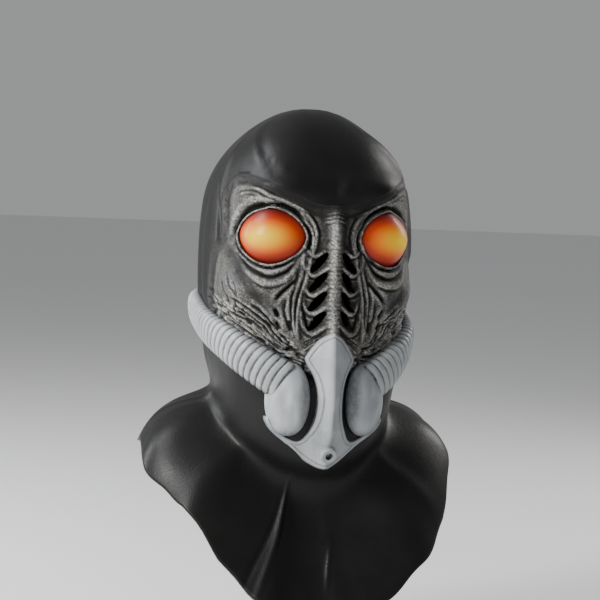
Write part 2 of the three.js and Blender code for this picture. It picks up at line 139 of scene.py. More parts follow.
# Respirator
PLATE_TOP = 0.591 * FACE_DROP
PLATE_HEIGHT = 109
PLATE_HALF_WIDTH = 48.5
PLATE_CREST = HEAD_FRONT + 14
PLATE_FALL = 24
PLATE_FALL_LENGTH = 20
PLATE_CREASE = 3
POD_ACROSS = 0.65 * PLATE_HALF_WIDTH
POD_DOWN = PLATE_TOP + 0.495 * PLATE_HEIGHT
POD_SINK = 4.3
POD_HALF_WIDTH = 18.3
POD_HALF_DEPTH = 12
POD_HALF_HEIGHT = 29
POD_TURN = math.radians(35)
HOSE_RIBS = 28
HOSE_FRONT_HALF_WIDTH = 16
HOSE_REAR_HALF_WIDTH = 12
HOSE_HEIGHT = 9
HOSE_GROOVE_DEPTH = 1.6
VALVE_DOWN = PLATE_TOP + 0.875 * PLATE_HEIGHT
VALVE_RADIUS = 6.5
VALVE_BORE_RADIUS = 2.75
VALVE_BORE_EDGE = 0.6
VALVE_CHAMFER = 1.2
VALVE_RISE = 4
VALVE_DEPTH = 9
VALVE_LEAN = math.radians(24)

# Half outline of the plate from the top round to the tip, in shares of half width and height
PLATE_OUTLINE = [
    (0, 0), (0.2, 0.055), (0.38, 0.165), (0.4, 0.215), (0.26, 0.33), (0.195, 0.46),
    (0.215, 0.615), (0.31, 0.73), (0.44, 0.8), (0.66, 0.765), (0.85, 0.69), (0.94, 0.63),
    (0.965, 0.655), (0.86, 0.735), (0.6, 0.83), (0.32, 0.94), (0.12, 0.99), (0, 1),
]

# Crest of the plate from the side: share of the height, share of PLATE_CREST
PLATE_PROFILE = [(0, 0.945), (0.18, 0.98), (0.46, 1), (0.7, 0.975), (0.87, 0.9), (1, 0.83)]

# Centre line of a hose from the pod to behind the ear: degrees round, share of FACE_DROP down
HOSE_LINE = [(23.5, 0.727), (26, 0.72), (43.6, 0.672), (61, 0.632), (81, 0.601), (103, 0.571), (122, 0.552)]

# Inner edge of the smooth cowl round the sculpted face: distance across and down
COWL_EDGE = [
    (0, 82), (10, 82), (20, 80.5), (30, 77), (40, 73.5), (48, 70.5), (56, 67), (64, 64), (73, 62),
    (83, 60), (93, 61), (101, 66), (104, 77), (103, 88), (102, 98), (104, 106), (111, 114), (118, 122),
    (122, 134), (124, 146), (125, 158), (112, 176), (92, 190), (70, 200), (50, 212), (25, 214), (0, 210),
]
COWL_STEP = 3.2
COWL_STEP_LENGTH = 16

# Part of the skin that is sculpted, and the largest distance from the cowl's edge that counts
FACE_HALF_WIDTH = 140
FACE_TOP = 40
FACE_BOTTOM = 230
EDGE_REACH = 60

# Slack of the cowl's edge, tight over the brow and soft beside the cheek
COWL_EDGE_TIGHT = 0.9
COWL_EDGE_SLACK = 4.5

# Sculpted lines of one side of the face: half width, rise, then points across and down.
# A rise below zero is a groove.
EYE_LINES = [
    (2.9, -6.0, [(93, 104), (89.5, 96), (83.5, 87.5), (75, 81.5), (65, 78), (56, 77)]),
    (1.5, -5.0, [(67, 78.5), (57, 76.8), (48, 77.2), (40, 79.6), (34, 83), (28, 88)]),
    (1.0, 2.2, [(75, 65), (64, 67), (56, 70), (48, 73), (40, 76), (31, 79.5), (20, 83.5)]),
    (0.7, -1.0, [(68, 69.5), (58, 71.6), (49, 74.6), (41, 77.2), (33, 80.6)]),
    (1.0, 1.8, [(27, 88.5), (21.5, 94), (18.5, 100), (18.5, 107), (20.5, 113)]),
    (1.2, -1.8, [(30, 89), (23.5, 95), (20.5, 102), (22, 110), (26, 116)]),
    (1.5, 1.8, [(27, 82), (20.5, 88), (16.5, 95), (15.5, 103), (17.5, 111), (19.5, 118), (21, 127)]),
    (1.1, -1.4, [(22, 83.5), (16, 91), (13.5, 100), (14.5, 108)]),
    (0.8, -1.0, [(91, 71), (84, 68.5), (76, 68), (67, 68.5), (59, 71)]),
    (0.7, -0.8, [(88, 74), (81, 71.5), (74, 71), (66, 72)]),
    (1.2, -2.6, [(88, 111), (79, 118), (70, 123.4), (61, 126.6), (53, 127), (43, 124),
                 (35, 119), (30, 113)]),
    (1.0, 1.3, [(86, 114.5), (77, 121), (68, 126.5), (58, 129.8), (50, 130), (42, 127), (34, 121.5)]),
    (1.3, -2.9, [(86, 117.5), (75, 125), (66, 130.3), (57, 133.8), (50, 134), (43, 131),
                 (36, 126), (30, 119)]),
    (0.6, -0.9, [(80, 117.5), (73, 122.5), (65, 126.5)]),
    (1.7, 1.8, [(89, 116), (78, 127), (68, 134), (60, 138), (52, 139.5), (43, 137.5),
                (36, 132.5), (30, 125)]),
    (0.8, -1.0, [(66, 138), (57, 142), (48, 142), (40, 138.5)]),
    (1.3, -2.9, [(30.5, 134.5), (36, 140), (42, 145.5), (47, 152)]),
    (1.0, 1.2, [(28.5, 137), (34, 143), (40, 148.5), (44, 154)]),
]
TENDON_LINES = [
    (1.9, 2.4, [(20, 121), (22, 131), (25.5, 143), (28, 157), (28.5, 172), (28, 184)]),
    (1.3, 1.6, [(25, 126), (28, 136), (31.5, 148), (32, 160), (31, 172), (29.5, 183)]),
    (0.9, -1.8, [(23.5, 127), (26, 137), (29.5, 149), (30.2, 162), (29.5, 175)]),
    (1.2, 1.3, [(31, 129), (34, 139), (36.5, 150), (36, 162), (33.5, 174), (31, 183)]),
    (0.8, -1.3, [(28.5, 128), (31.5, 139), (34, 150), (34, 162), (32, 173)]),
    (1.1, -2.0, [(25, 140), (25.5, 150), (24, 160), (20.5, 170), (19, 176)]),
    (1.0, -1.6, [(38, 152), (40, 160), (38, 168), (34, 177)]),
]
CHEEK_LINES = [
    (0.9, -1.3, [(93, 134), (89, 142), (83, 147), (80, 153)]),
    (0.7, -0.9, [(84, 138), (80, 145), (80, 155)]),
    (0.8, -1.0, [(101, 138), (97, 147), (90, 153)]),
    (1.6, -3.4, [(48, 158), (44.5, 165)]),
    (1.7, -3.6, [(47.5, 168), (44, 175)]),
    (1.4, -3.2, [(35.5, 167), (33, 176)]),
    (1.4, -3.0, [(81, 162), (75, 166.5)]),
    (1.2, -2.6, [(68, 169), (62, 173.5)]),
    (1.1, -2.2, [(56, 168), (50, 174)]),
]

# Guides of the fan of strands over the lower cheek, from the top of the hose up to the bag
FAN_GUIDES = [
    [(121, 163), (98, 170.5), (77, 178), (61, 186), (48, 195), (37, 200), (28, 199)],
    [(118, 157), (96, 164), (78, 171), (66, 177.5), (54, 185), (43, 192), (33, 193)],
    [(104, 150), (88, 158), (73, 164), (60, 172), (50, 180), (41, 187), (32, 189)],
    [(72, 150), (62, 155), (54, 162), (48, 169), (41, 177), (35, 183), (30, 186)],
]
FAN_STRANDS = 17

# Soft hollow from the outer corner of the eye down the cheek, with little paint in it: the paint is thinned
# there as painted shade
HOLLOW_HALF_WIDTH = 5.5
HOLLOW_DEPTH = 2.8
HOLLOW_LINE = [(105, 112), (92, 119), (81, 128), (72, 138), (64, 147), (56, 153), (47, 156)]

# Upper edge of the cracked skin of the lower cheek, and the way its cracks run
BARK_EDGE = [
    (0, 196), (22, 192), (32, 183), (42, 175), (52, 166), (62, 160), (74, 156), (90, 152), (130, 146),
]
BARK_WAY = math.radians(159)
BARK_SIZE = 2.7
BARK_STRETCH = 3.4
BARK_DEPTH = 2.6
BARK_CRACK_WIDTH = 0.24

# One strand between two slits, as distances across and down from the slit's middle
SLIT_STRAND = [(-9, 1.5), (-4, 6), (1.5, 10), (7, 9.3), (11, 4), (12.5, -4), (12, -12)]

# Lines drawn along each of these strands: half width, rise, first point taken, shift
SLIT_LINES = [(1.5, 2.3, 0, (0, 0)), (0.7, -1.3, 1, (-0.9, 2.4)), (0.6, 0.9, 2, (1.6, 4.2))]

# Wrinkles over the bridge of the nose, each set repeated further down
BRIDGE_COUNT = 5
BRIDGE_STEP = 2.9
BRIDGE_LINES = [
    (0.9, 1.2, [(-12, 77.5), (0, 76.5), (9, 78)]),
    (0.6, -0.9, [(-10, 79), (0, 78), (8, 79.5)]),
]

# Ridges and grooves that spread from the tip of the nose: the first line and the steps to the next
TIP_COUNT = 7
TIP_HALF_WIDTH = 0.8
TIP_RISES = (1.2, -1.8)
TIP_LINE = [(3, 169), (12, 177), (24, 184)]
TIP_STEPS = [(1.2, 2.2), (1, 1.6), (0, 1.2)]

# Fine cross ribs of the nose ridge, with the distances down where they start and end
NOSE_RIB_PITCH = 3.4
NOSE_RIB_HALF_WIDTH = 5.5
NOSE_RIB_RISE = 0.5
NOSE_RIB_START = (96, 106)
NOSE_RIB_END = (176, 186)

# Bead and crease round an eye: rise, distance outside the opening, half width
EYE_BEADS = [(1.5, 1.1, 1.0), (-1.2, 3.4, 1.1)]

# Rise of the fine grain of the sculpted skin, and how many half widths of a line count
GRAIN_RISE = 0.16
LINE_REACH = 2.6


def control_rows():
    """Rows of the whole skin, with one more beyond each end for the curve."""
    head_sizes = [FACE_DROP, FACE_DROP, FACE_DROP, HEAD_HALF_WIDTH, HEAD_FRONT, HEAD_BACK]
    hem_sizes = [HEM_FRONT_DROP, HEM_SIDE_DROP, HEM_BACK_DROP, BIB_HALF_WIDTH, BIB_FRONT, BIB_BACK]
    head = np.array(HEAD_ROWS) * head_sizes
    bib = head[-1] + np.array(BIB_ROWS) * (hem_sizes - head[-1])
    rows = np.vstack([head, bib])
    before = rows[1] * np.array([1, 1, 1, -1, -1, -1])
    after = 2 * rows[-1] - rows[-2]
    return np.vstack([before, rows, after])


CONTROL = control_rows()
LAST_ROW = len(CONTROL) - 3
COLLAR_ROW = len(HEAD_ROWS) - 1


def base_point(angle, place):
    """Point of the plain head shape, in millimetres."""
    place = np.clip(place, 0, LAST_ROW - 1e-9)
    k = np.floor(place).astype(int)
    f = (place - k)[..., None]
    rows = [CONTROL[k + i] for i in range(4)]
    weights = [(1 - f) ** 3, 3 * f**3 - 6 * f**2 + 4, -3 * f**3 + 3 * f**2 + 3 * f + 1, f**3]
    values = sum(w * r for w, r in zip(weights, rows)) / 6
    c, d = np.cos(angle), np.sin(angle)
    front_drop, side_drop, back_drop, side, front, back = np.moveaxis(values, -1, 0)
    drop = front_drop * c * (c + 1) / 2 + side_drop * (1 - c * c) + back_drop * c * (c - 1) / 2
    side = np.maximum(side, 0.001)
    depth = np.maximum(back + (front - back) * (1 + c) / 2, 0.001)
    spread = np.abs(d / side) ** CORNER_POWER + np.abs(c / depth) ** CORNER_POWER
    reach = spread ** (-1 / CORNER_POWER)
    return np.stack([reach * d, -reach * c, SKIN - drop], -1)


def base_normal(angle, place):
    """Outward direction of the plain head shape."""
    step = 0.02
    lower = np.minimum(place + step, LAST_ROW - 1e-6)
    round_ = base_point(angle + step, place) - base_point(angle - step, place)
    down = base_point(angle, lower) - base_point(angle, np.maximum(place - step, 0))
    normal = np.cross(down, round_)
    normal[place < 0.05] = (0, 0, 1)
    return normal / np.linalg.norm(normal, axis=-1, keepdims=True)


def drop_at(angle, place):
    """How far the plain head shape is below the crown."""
    return SKIN - base_point(angle, place)[..., 2]


def raised(angle, place, rise):
    """Point at a rise over the plain head shape."""
    return base_point(angle, place) + base_normal(angle, place) * rise[..., None]


def bump(distance):
    """Soft bump that is 1 in its middle and small at a distance of 1.5."""
    return np.exp(-1.2 * distance * distance)


def smooth_step(low, high, value):
    """Smooth way from 0 at the low value to 1 at the high one."""
    t = np.clip((value - low) / (high - low), 0, 1)
    return t * t * (3 - 2 * t)


def main_relief(angle, drop, place):
    """Rise of the main swells, hollows, nose ridge and folds."""
    degrees = np.degrees(angle)
    across = np.abs(angle) * FACE_RADIUS
    level = drop / FACE_DROP
    rise = np.zeros_like(drop)
    for centre, down, half_width, half_height, share in SWELLS:
        spread = bump((np.abs(degrees) - centre) / half_width) * bump((level - down) / half_height)
        rise += SWELL_RISE * share * spread
    socket = bump((across - EYE_ACROSS) / (EYE_HALF_LENGTH + SOCKET_MARGIN))
    rise -= SOCKET_DEPTH * socket * bump((drop - EYE_DOWN) / (EYE_HALF_HEIGHT + SOCKET_MARGIN))
    below_top = smooth_step(NOSE_TOP, NOSE_TOP + 2 * NOSE_FADE, drop)
    above_bottom = 1 - smooth_step(NOSE_BOTTOM - NOSE_FADE, NOSE_BOTTOM, drop)
    rise += NOSE_RISE * bump(across / NOSE_HALF_WIDTH) * below_top * above_bottom
    bib_share = np.maximum(place - COLLAR_ROW, 0) / (LAST_ROW - COLLAR_ROW)
    for centre, half_width, share in BIB_FOLDS:
        rise += FOLD_RISE * share * bib_share * bump((degrees - centre) / half_width)
    return rise


def place_at(angle, down):
    """Place down the head's rows where the plain shape is this far below the crown."""
    high = np.zeros_like(down)
    low = np.full_like(down, COLLAR_ROW)
    for _ in range(26):
        middle = (high + low) / 2
        above = drop_at(angle, middle) < down
        high = np.where(above, middle, high)
        low = np.where(above, low, middle)
    return high


def face_point(across, down, offset):
    """Point over the plain head shape at a distance across and down the face."""
    angle = np.asarray(across, float) / FACE_RADIUS
    down = np.asarray(down, float)
    place = place_at(angle, down)
    return raised(angle, place, np.asarray(offset))


def noise(points, size, seed):
    """Smooth noise from -1 to 1 at points, with features of one size."""
    q = points / size + seed * 17.31
    cell = np.floor(q)
    f = q - cell
    f = f * f * (3 - 2 * f)
    total = 0
    for corner in range(8):
        offset = np.array([corner & 1, corner >> 1 & 1, corner >> 2 & 1])
        key = (cell + offset) @ np.array([12.9898, 78.233, 37.719])
        value = np.modf(np.abs(np.sin(key) * 43758.5453))[0]
        weight = np.prod(np.where(offset == 1, f, 1 - f), axis=-1)
        total = total + weight * value
    return 2 * total - 1


def smooth_line(points, steps=6):
    """A smooth line through points."""
    p = np.array(points, float)
    p = np.vstack([2 * p[0] - p[1], p, 2 * p[-1] - p[-2]])
    t = np.arange(steps)[:, None] / steps
    line = []
    for a, b, c, d in zip(p, p[1:], p[2:], p[3:]):
        square, cube = 2 * a - 5 * b + 4 * c - d, 3 * b - a - 3 * c + d
        line.append(0.5 * (2 * b + (c - a) * t + square * t**2 + cube * t**3))
    return np.vstack(line + [p[-2:-1]])


def to_line(u, v, line, reach):
    """Points within reach of a line: their numbers, distance to it and share of the way along it."""
    near = (u > line[:, 0].min() - reach) & (u < line[:, 0].max() + reach)
    near &= (v > line[:, 1].min() - reach) & (v < line[:, 1].max() + reach)
    index = np.flatnonzero(near)
    start, step = line[:-1], np.diff(line, axis=0)
    length = np.maximum((step**2).sum(1), 1e-9)
    q = np.stack([u[index], v[index]], -1)[:, None, :] - start
    t = np.clip((q * step).sum(-1) / length, 0, 1)
    distance = np.linalg.norm(q - t[..., None] * step, axis=-1)
    best = distance.argmin(1)
    rows = np.arange(len(index))
    share = (best + t[rows, best]) / len(start)
    return index, distance[rows, best], share


class Relief:
    """Sculpted ridges and grooves, where crossing ones don't add up."""

    def __init__(self, u, v):
        self.u, self.v = u, v
        self.ridge = np.zeros_like(u)
        self.groove = np.zeros_like(u)

    def draw(self, half_width, rise, points, fade=0.18):
        index, distance, share = to_line(self.u, self.v, smooth_line(points), LINE_REACH * half_width)
        ends = smooth_step(0, fade, share) * smooth_step(0, fade, 1 - share)
        height = rise * np.exp(-((distance / half_width) ** 2)) * (0.25 + 0.75 * ends)
        if rise > 0:
            self.ridge[index] = np.maximum(self.ridge[index], height)
        else:
            self.groove[index] = np.minimum(self.groove[index], height)

    def total(self):
        return self.ridge + self.groove


def eye_share(across, down):
    """0 at the middle of the eye, 1 on the outline of its opening."""
    x = np.abs((across - EYE_ACROSS) / EYE_HALF_LENGTH)
    y = np.abs((down - EYE_DOWN) / EYE_HALF_HEIGHT)
    return (x**EYE_CORNER_POWER + y**EYE_CORNER_POWER) ** (1 / EYE_CORNER_POWER)


def slit_share(across, down, row):
    """0 at the middle of a slit, 1 on its outline."""
    x = across - SLIT_ACROSS
    y = down - SLIT_TOP - row * SLIT_PITCH
    along = (x * math.cos(SLIT_SLANT) + y * math.sin(SLIT_SLANT)) / SLIT_HALF_LENGTH
    wide = (x * math.sin(SLIT_SLANT) - y * math.cos(SLIT_SLANT)) / SLIT_HALF_WIDTH
    return np.hypot(along, wide)


def inside_outline(u, v, outline):
    """Whether points lie inside a closed outline."""
    inside = np.zeros(u.shape, bool)
    for (x0, y0), (x1, y1) in zip(outline, np.roll(outline, -1, axis=0)):
        if y0 == y1:
            continue
        crosses = (v > min(y0, y1)) & (v <= max(y0, y1))
        inside ^= crosses & (u < x0 + (v - y0) * (x1 - x0) / (y1 - y0))
    return inside


def cowl_depth(across, down):
    """Distance inside the cowl's edge, below zero out on the cowl."""
    line = smooth_line(COWL_EDGE)
    index, distance, _ = to_line(across, down, line, EDGE_REACH)
    depth = np.full(across.shape, float(-EDGE_REACH))
    depth[index] = -np.minimum(distance, EDGE_REACH)
    inside = inside_outline(across, down, line)
    depth[inside] *= -1
    return depth


def fan_strands(random):
    """Strands of the lower cheek, drawn between the guides, most of them broken in places."""
    guides = np.array([smooth_line(g, 8)[::2] for g in FAN_GUIDES])
    strands = []
    for i in range(FAN_STRANDS):
        at = (len(guides) - 1) * i / (FAN_STRANDS - 1)
        low = min(int(at), len(guides) - 2)
        line = guides[low] + (guides[low + 1] - guides[low]) * (at - low)
        wobble = random.normal(0, 0.55, len(line))
        line[:, 1] += np.convolve(wobble, [0.25, 0.5, 0.25], "same")
        first = int(random.integers(0, 6))
        while first < len(line) - 4:
            last = min(first + int(random.integers(6, 14)), len(line) - 1)
            strands.append((i % 2, random.uniform(0.8, 1.25), line[first:last + 1]))
            first = last + int(random.integers(-1, 2))
    return strands


def bark_grid(across, down):
    """Face coordinates turned along the cracks of the lower cheek and shortened that way."""
    c, s = math.cos(BARK_WAY), math.sin(BARK_WAY)
    along = (c * across + s * down) / BARK_STRETCH
    return np.stack([along, c * down - s * across, np.zeros_like(across)], -1)


def edge_slack(across, down):
    """How soft the cowl's edge is: 0 over the brow, 1 beside the cheek and at the nose's root."""
    beside = smooth_step(78, 98, across)
    return np.maximum(beside, (1 - smooth_step(8, 24, across)) * (down < 130))


def face_relief(across, down, seed):
    """Rise of the sculpted lines on one side of the face, how far each point is inside the face,
    its share of the soft hollow of the cheek, and the depth of its grooves."""
    random = np.random.default_rng(seed)
    sheet = np.stack([across, down, np.zeros_like(across)], -1)
    u = across + 0.7 * noise(sheet, 14, seed) + 0.25 * noise(sheet, 5, seed + 1)
    v = down + 0.7 * noise(sheet, 14, seed + 2) + 0.25 * noise(sheet, 5, seed + 3)
    lines = Relief(u, v)
    for half_width, rise, points in EYE_LINES + TENDON_LINES + CHEEK_LINES:
        lines.draw(half_width, rise, points)
    for is_groove, width, line in fan_strands(random):
        rise = -random.uniform(1.6, 2.8) if is_groove else random.uniform(0.9, 1.7)
        lines.draw(width, rise, line)
    for row in range(-1, SLIT_COUNT):
        middle = np.array([SLIT_ACROSS, SLIT_TOP + row * SLIT_PITCH])
        strand = np.array(SLIT_STRAND) + middle
        for half_width, rise, first, shift in SLIT_LINES:
            lines.draw(half_width, rise, strand[max(first, int(row < 0)):] + shift)
    for i in range(BRIDGE_COUNT):
        for half_width, rise, points in BRIDGE_LINES:
            lines.draw(half_width, rise, np.array(points) + (0, BRIDGE_STEP * i))
    for i in range(TIP_COUNT):
        lines.draw(TIP_HALF_WIDTH, TIP_RISES[i % 2], np.array(TIP_LINE) + i * np.array(TIP_STEPS))
    rise = lines.total()
    bark = smooth_step(-3, 5, v - np.interp(u, *np.array(BARK_EDGE).T))
    cracks = noise(bark_grid(across, down) / BARK_SIZE, 1, seed + 6)
    cracks = np.exp(-((cracks / BARK_CRACK_WIDTH) ** 2))
    rise -= BARK_DEPTH * bark * cracks * (0.6 + 0.4 * noise(sheet, 6, seed + 7))
    ribs = np.cos(2 * np.pi * v / NOSE_RIB_PITCH) * bump(across / NOSE_RIB_HALF_WIDTH)
    ribs *= smooth_step(*NOSE_RIB_START, v) * (1 - smooth_step(*NOSE_RIB_END, v))
    rise += NOSE_RIB_RISE * ribs
    outside_eye = (eye_share(across, down) - 1) * (EYE_HALF_LENGTH + EYE_HALF_HEIGHT) / 2
    for bead, distance, half_width in EYE_BEADS:
        rise += bead * np.exp(-(((outside_eye - distance) / half_width) ** 2))
    depth = cowl_depth(across, down)
    slack = COWL_EDGE_TIGHT + (COWL_EDGE_SLACK - COWL_EDGE_TIGHT) * edge_slack(across, down)
    inside = smooth_step(-slack, slack + 0.7, depth)
    rise = rise * inside
    rise -= COWL_STEP * inside * np.exp(-np.maximum(depth, 0) / COWL_STEP_LENGTH)
    rough = noise(sheet, 3.1, seed + 4) + 0.6 * noise(sheet, 1.7, seed + 5)
    rise += GRAIN_RISE * rough * inside
    index, distance, share = to_line(u, v, smooth_line(HOLLOW_LINE), LINE_REACH * HOLLOW_HALF_WIDTH)
    hollow = np.zeros_like(u)
    ends = smooth_step(0, 0.15, share) * smooth_step(0, 0.3, 1 - share)
    hollow[index] = np.exp(-((distance / HOLLOW_HALF_WIDTH) ** 2)) * ends
    return rise, depth, hollow, lines.groove * inside


# Wide soft folds of the smooth cowl and crown: half width, rise, then points across and down
COWL_LINES = [
    (5, 1.6, [(-150, 24), (-128, 40), (-116, 60), (-112, 84), (-110, 108)]),
    (4, -1.8, [(-122, 58), (-113, 80), (-108, 104), (-108, 122)]),
    (4, 1.4, [(-108, 62), (-104, 80), (-103, 98)]),
    (7, 1.5, [(-120, 18), (-92, 30), (-74, 42), (-62, 52)]),
    (5, -1.2, [(-104, 18), (-78, 34), (-62, 46)]),
    (6, 1.2, [(-56, 46), (-40, 52), (-22, 58)]),
    (7, 1.8, [(60, 16), (82, 28), (96, 42), (104, 56)]),
    (3, -1.6, [(88, 52), (98, 58), (110, 60)]),
    (4, 1.0, [(14, 56), (8, 64), (2, 72)]),
    (5, 1.5, [(112, 70), (116, 100), (118, 130), (116, 160)]),
    (9, 1.6, [(150, 60), (160, 110), (158, 160), (150, 210)]),
    (10, -1.6, [(-150, 70), (-160, 120), (-158, 170), (-150, 215)]),
    (11, 1.8, [(-240, 150), (-250, 190), (-240, 230)]),
    (11, -1.6, [(205, 140), (215, 180), (205, 225)]),
    (9, 1.6, [(-288, 120), (-270, 160), (-276, 210)]),
]

# Folds of the throat and bib: half width, rise, then points across and down
BIB_LINES = [
    (2.4, 2.4, [(-31, 294), (-34, 304), (-38, 320), (-41, 342), (-46, 370), (-49, 394)]),
    (2.0, -1.6, [(-41, 312), (-46, 336), (-53, 362), (-57, 386)]),
    (8, 1.6, [(-84, 262), (-90, 290), (-94, 318), (-98, 344)]),
    (1.8, 1.2, [(16, 344), (12, 356), (8, 368), (5, 380)]),
    (7, 1.4, [(74, 266), (86, 300), (92, 330)]),
    (5, 2.2, [(-150, 226), (-160, 250), (-158, 280)]),
    (5, 2.0, [(150, 226), (158, 250), (160, 276)]),
    (6, 2.2, [(-230, 226), (-224, 260), (-234, 300)]),
    (6, 2.2, [(236, 230), (226, 262), (232, 300)]),
]


def cowl_relief(across, down, depth):
    """Rise of the soft folds of the cowl, throat and bib."""
    folds = Relief(across, down)
    for half_width, rise, points in COWL_LINES + BIB_LINES:
        folds.draw(half_width, rise, points, 0.4)
    return folds.total() * smooth_step(4, -4, depth)


# Grid of the skin: column widths over the face and behind it, and distances down with the height of
# the rows that start before them
GRID_FINE = 0.98
GRID_COARSE = 5.4
GRID_FACE_EDGE = 112.0
GRID_GROWTH = 0.05
GRID_ROWS = [(54, 2.6), (202, 0.88), (math.inf, 1.9)]
BIB_GRID_ROWS = 38

# Lining: its steps over the grid of the skin, its rows over the bib, and how far it is inside
LINING_ROW_STEP = 9
LINING_COLUMN_STEP = 4
LINING_BIB_ROWS = 12
LINING_SINK = 1.2


def column_angles():
    """Angles round the head, close together over the face and wider behind."""
    half = [0.0]
    while half[-1] < math.pi * FACE_RADIUS:
        beyond = max(half[-1] - GRID_FACE_EDGE, 0)
        half.append(half[-1] + min(GRID_FINE + beyond * GRID_GROWTH, GRID_COARSE))
    half = np.array(half) * math.pi / half[-1]
    return np.concatenate([-half[:0:-1], half[:-1]])


def row_places():
    """Places of the rows of the skin down to the collar."""
    places = np.linspace(0, COLLAR_ROW, 4000)
    drops = drop_at(np.zeros_like(places), places)
    wanted = [0.4, 1.2]
    while wanted[-1] < drops[-1] - 2:
        step = next(height for level, height in GRID_ROWS if wanted[-1] < level)
        wanted.append(wanted[-1] + step)
    return np.interp(wanted, drops, places)


def quads_between(rows, columns, start=0):
    """Faces of a grid that closes round its columns."""
    i, j = np.meshgrid(np.arange(rows - 1), np.arange(columns), indexing="ij")
    k = (j + 1) % columns
    faces = np.stack([i * columns + j, (i + 1) * columns + j, (i + 1) * columns + k, i * columns + k], -1)
    return faces.reshape(-1, 4) + start


def grid_of(places, angles, bib_rows):
    """Angles and places of a grid over head and bib, the bib cut to its hem."""
    hem = np.array(HEM_CUT, float)
    kept = np.interp(np.degrees(angles), hem[:, 0], hem[:, 1])
    kept = kept + 0.012 * np.sin(9 * angles) + 0.008 * np.sin(23 * angles + 1)
    bib = COLLAR_ROW + (LAST_ROW - COLLAR_ROW) * kept * np.linspace(0, 1, bib_rows + 1)[:, None]
    head = np.repeat(places[:, None], len(angles), 1)
    place = np.vstack([head, np.minimum(bib, LAST_ROW - 1e-6)])
    return np.repeat(angles[None, :], len(place), 0), place


def blurred(values, rounds=2):
    """Grid values averaged with their neighbours."""
    for _ in range(rounds):
        values = sum(np.roll(values, k, 1) for k in range(-3, 4)) / 7
        padded = np.pad(values, ((3, 3), (0, 0)), "edge")
        values = sum(padded[k:k + len(values)] for k in range(7)) / 7
    return values


# How far the lips of the openings go in, and how far the lining keeps below the sculpted grooves
LIP_DEPTH = 4.5
INNER_CLEARANCE = 4.2

# Slight unevenness of the smooth cowl: rise and size
UNEVENNESS = 0.35
UNEVENNESS_SIZE = 26

# Distances down between which the paint of the face ends
PAINT_END = (206, 214)


def openings():
    """Each opening of the face: a share that is one on its outline, and its middle across and down."""
    listed = [(eye_share, (EYE_ACROSS, EYE_DOWN))]
    for row in range(SLIT_COUNT):
        middle = (SLIT_ACROSS, SLIT_TOP + row * SLIT_PITCH)
        listed.append((lambda across, down, row=row: slit_share(across, down, row), middle))
    return listed


def brushed_paint(across, down, depth, prominence):
    """Share of brushed paint on the face, most of it on what stands out."""
    slack = edge_slack(across, down)
    painted = smooth_step(-0.6 - 4 * slack, 1.4 + 5 * slack, depth) * (1 - smooth_step(*PAINT_END, down))
    brushed = 0.3 * smooth_step(-0.6, 0.05, prominence) + 0.7 * smooth_step(0.05, 0.8, prominence)
    return painted * brushed


def lining_points(angles):
    """The coarser inner skin, kept below the deepest grooves of the face."""
    rows, columns = row_places()[4::LINING_ROW_STEP], angles[::LINING_COLUMN_STEP]
    angle, place = grid_of(rows, columns, LINING_BIB_ROWS)
    drop = drop_at(angle, place)
    under_face = smooth_step(FACE_HALF_WIDTH, FACE_HALF_WIDTH - 25, np.abs(angle) * FACE_RADIUS)
    under_face *= smooth_step(FACE_TOP, FACE_TOP + 20, drop)
    under_face *= smooth_step(FACE_BOTTOM, FACE_BOTTOM - 20, drop)
    rise = main_relief(angle, drop, place) - SKIN - LINING_SINK
    return raised(angle, place, rise - INNER_CLEARANCE * under_face)


def build_hood():
    """Points and faces of the skin and the points of its lining, with the brushed paint for the skin and
    the painted shade of its grooves and of the cheek's hollow.
    """
    angles = column_angles()
    angle, place = grid_of(row_places(), angles, BIB_GRID_ROWS)
    shape = angle.shape
    side = np.where(angle < 0, -1, 1)
    across = (np.abs(angle) * FACE_RADIUS).ravel()
    down = drop_at(angle, place).ravel()
    faces = quads_between(*shape)
    centre_across, centre_down = across[faces].mean(1), down[faces].mean(1)
    left_out = np.zeros(len(faces), bool)
    moved = np.zeros(len(across), bool)
    for share_of, middle in openings():
        cut = share_of(centre_across, centre_down) < 1
        rim = np.intersect1d(faces[cut], faces[~cut])
        share = share_of(across[rim], down[rim])
        across[rim] = middle[0] + (across[rim] - middle[0]) / share
        down[rim] = middle[1] + (down[rim] - middle[1]) / share
        moved[rim] = True
        left_out |= cut
    angle, place = angle.ravel(), place.ravel()
    angle[moved] = (side.ravel() * across)[moved] / FACE_RADIUS
    place[moved] = place_at(angle[moved], down[moved])
    angle, place, across, down = (values.reshape(shape) for values in (angle, place, across, down))

    rise = main_relief(angle, down, place)
    depth = np.full(shape, float(-EDGE_REACH))
    hollow = np.zeros(shape)
    groove = np.zeros(shape)
    on_face = (across < FACE_HALF_WIDTH) & (down < FACE_BOTTOM) & (down > FACE_TOP)
    for sign, seed in ((-1, 3), (1, 8)):
        part = on_face & (side == sign)
        more, depth[part], hollow[part], groove[part] = face_relief(across[part], down[part], seed)
        rise[part] += more
    rise += cowl_relief((side * across).ravel(), down.ravel(), depth.ravel()).reshape(shape)
    base = base_point(angle, place)
    crown = smooth_step(0, 12, down)
    rise += UNEVENNESS * crown * noise(base, UNEVENNESS_SIZE, 5) * smooth_step(4, -4, depth)
    prominence = rise - blurred(rise)
    rise -= HOLLOW_DEPTH * hollow
    outer = base + base_normal(angle, place) * rise[..., None]

    # Painted shade: the brushed paint is thinned along the cheek's hollow so that it reads dark
    hollow_shade = np.clip(hollow * (1.15 + 0.5 * noise(base, 5, 9)), 0, 1)
    paint = brushed_paint(across, down, depth, prominence) * (1 - 0.85 * hollow_shade)
    # Painted shade: the deep grooves of the face are darkened to near black
    groove_shade = 1 - smooth_step(-3.0, -1.0, groove)
    grid = bark_grid(across, down) * np.where(depth > -5, 1, 0)[..., None]
    return outer, lining_points(angles), faces, left_out, {"paint": paint, "groove_shade": groove_shade}, grid


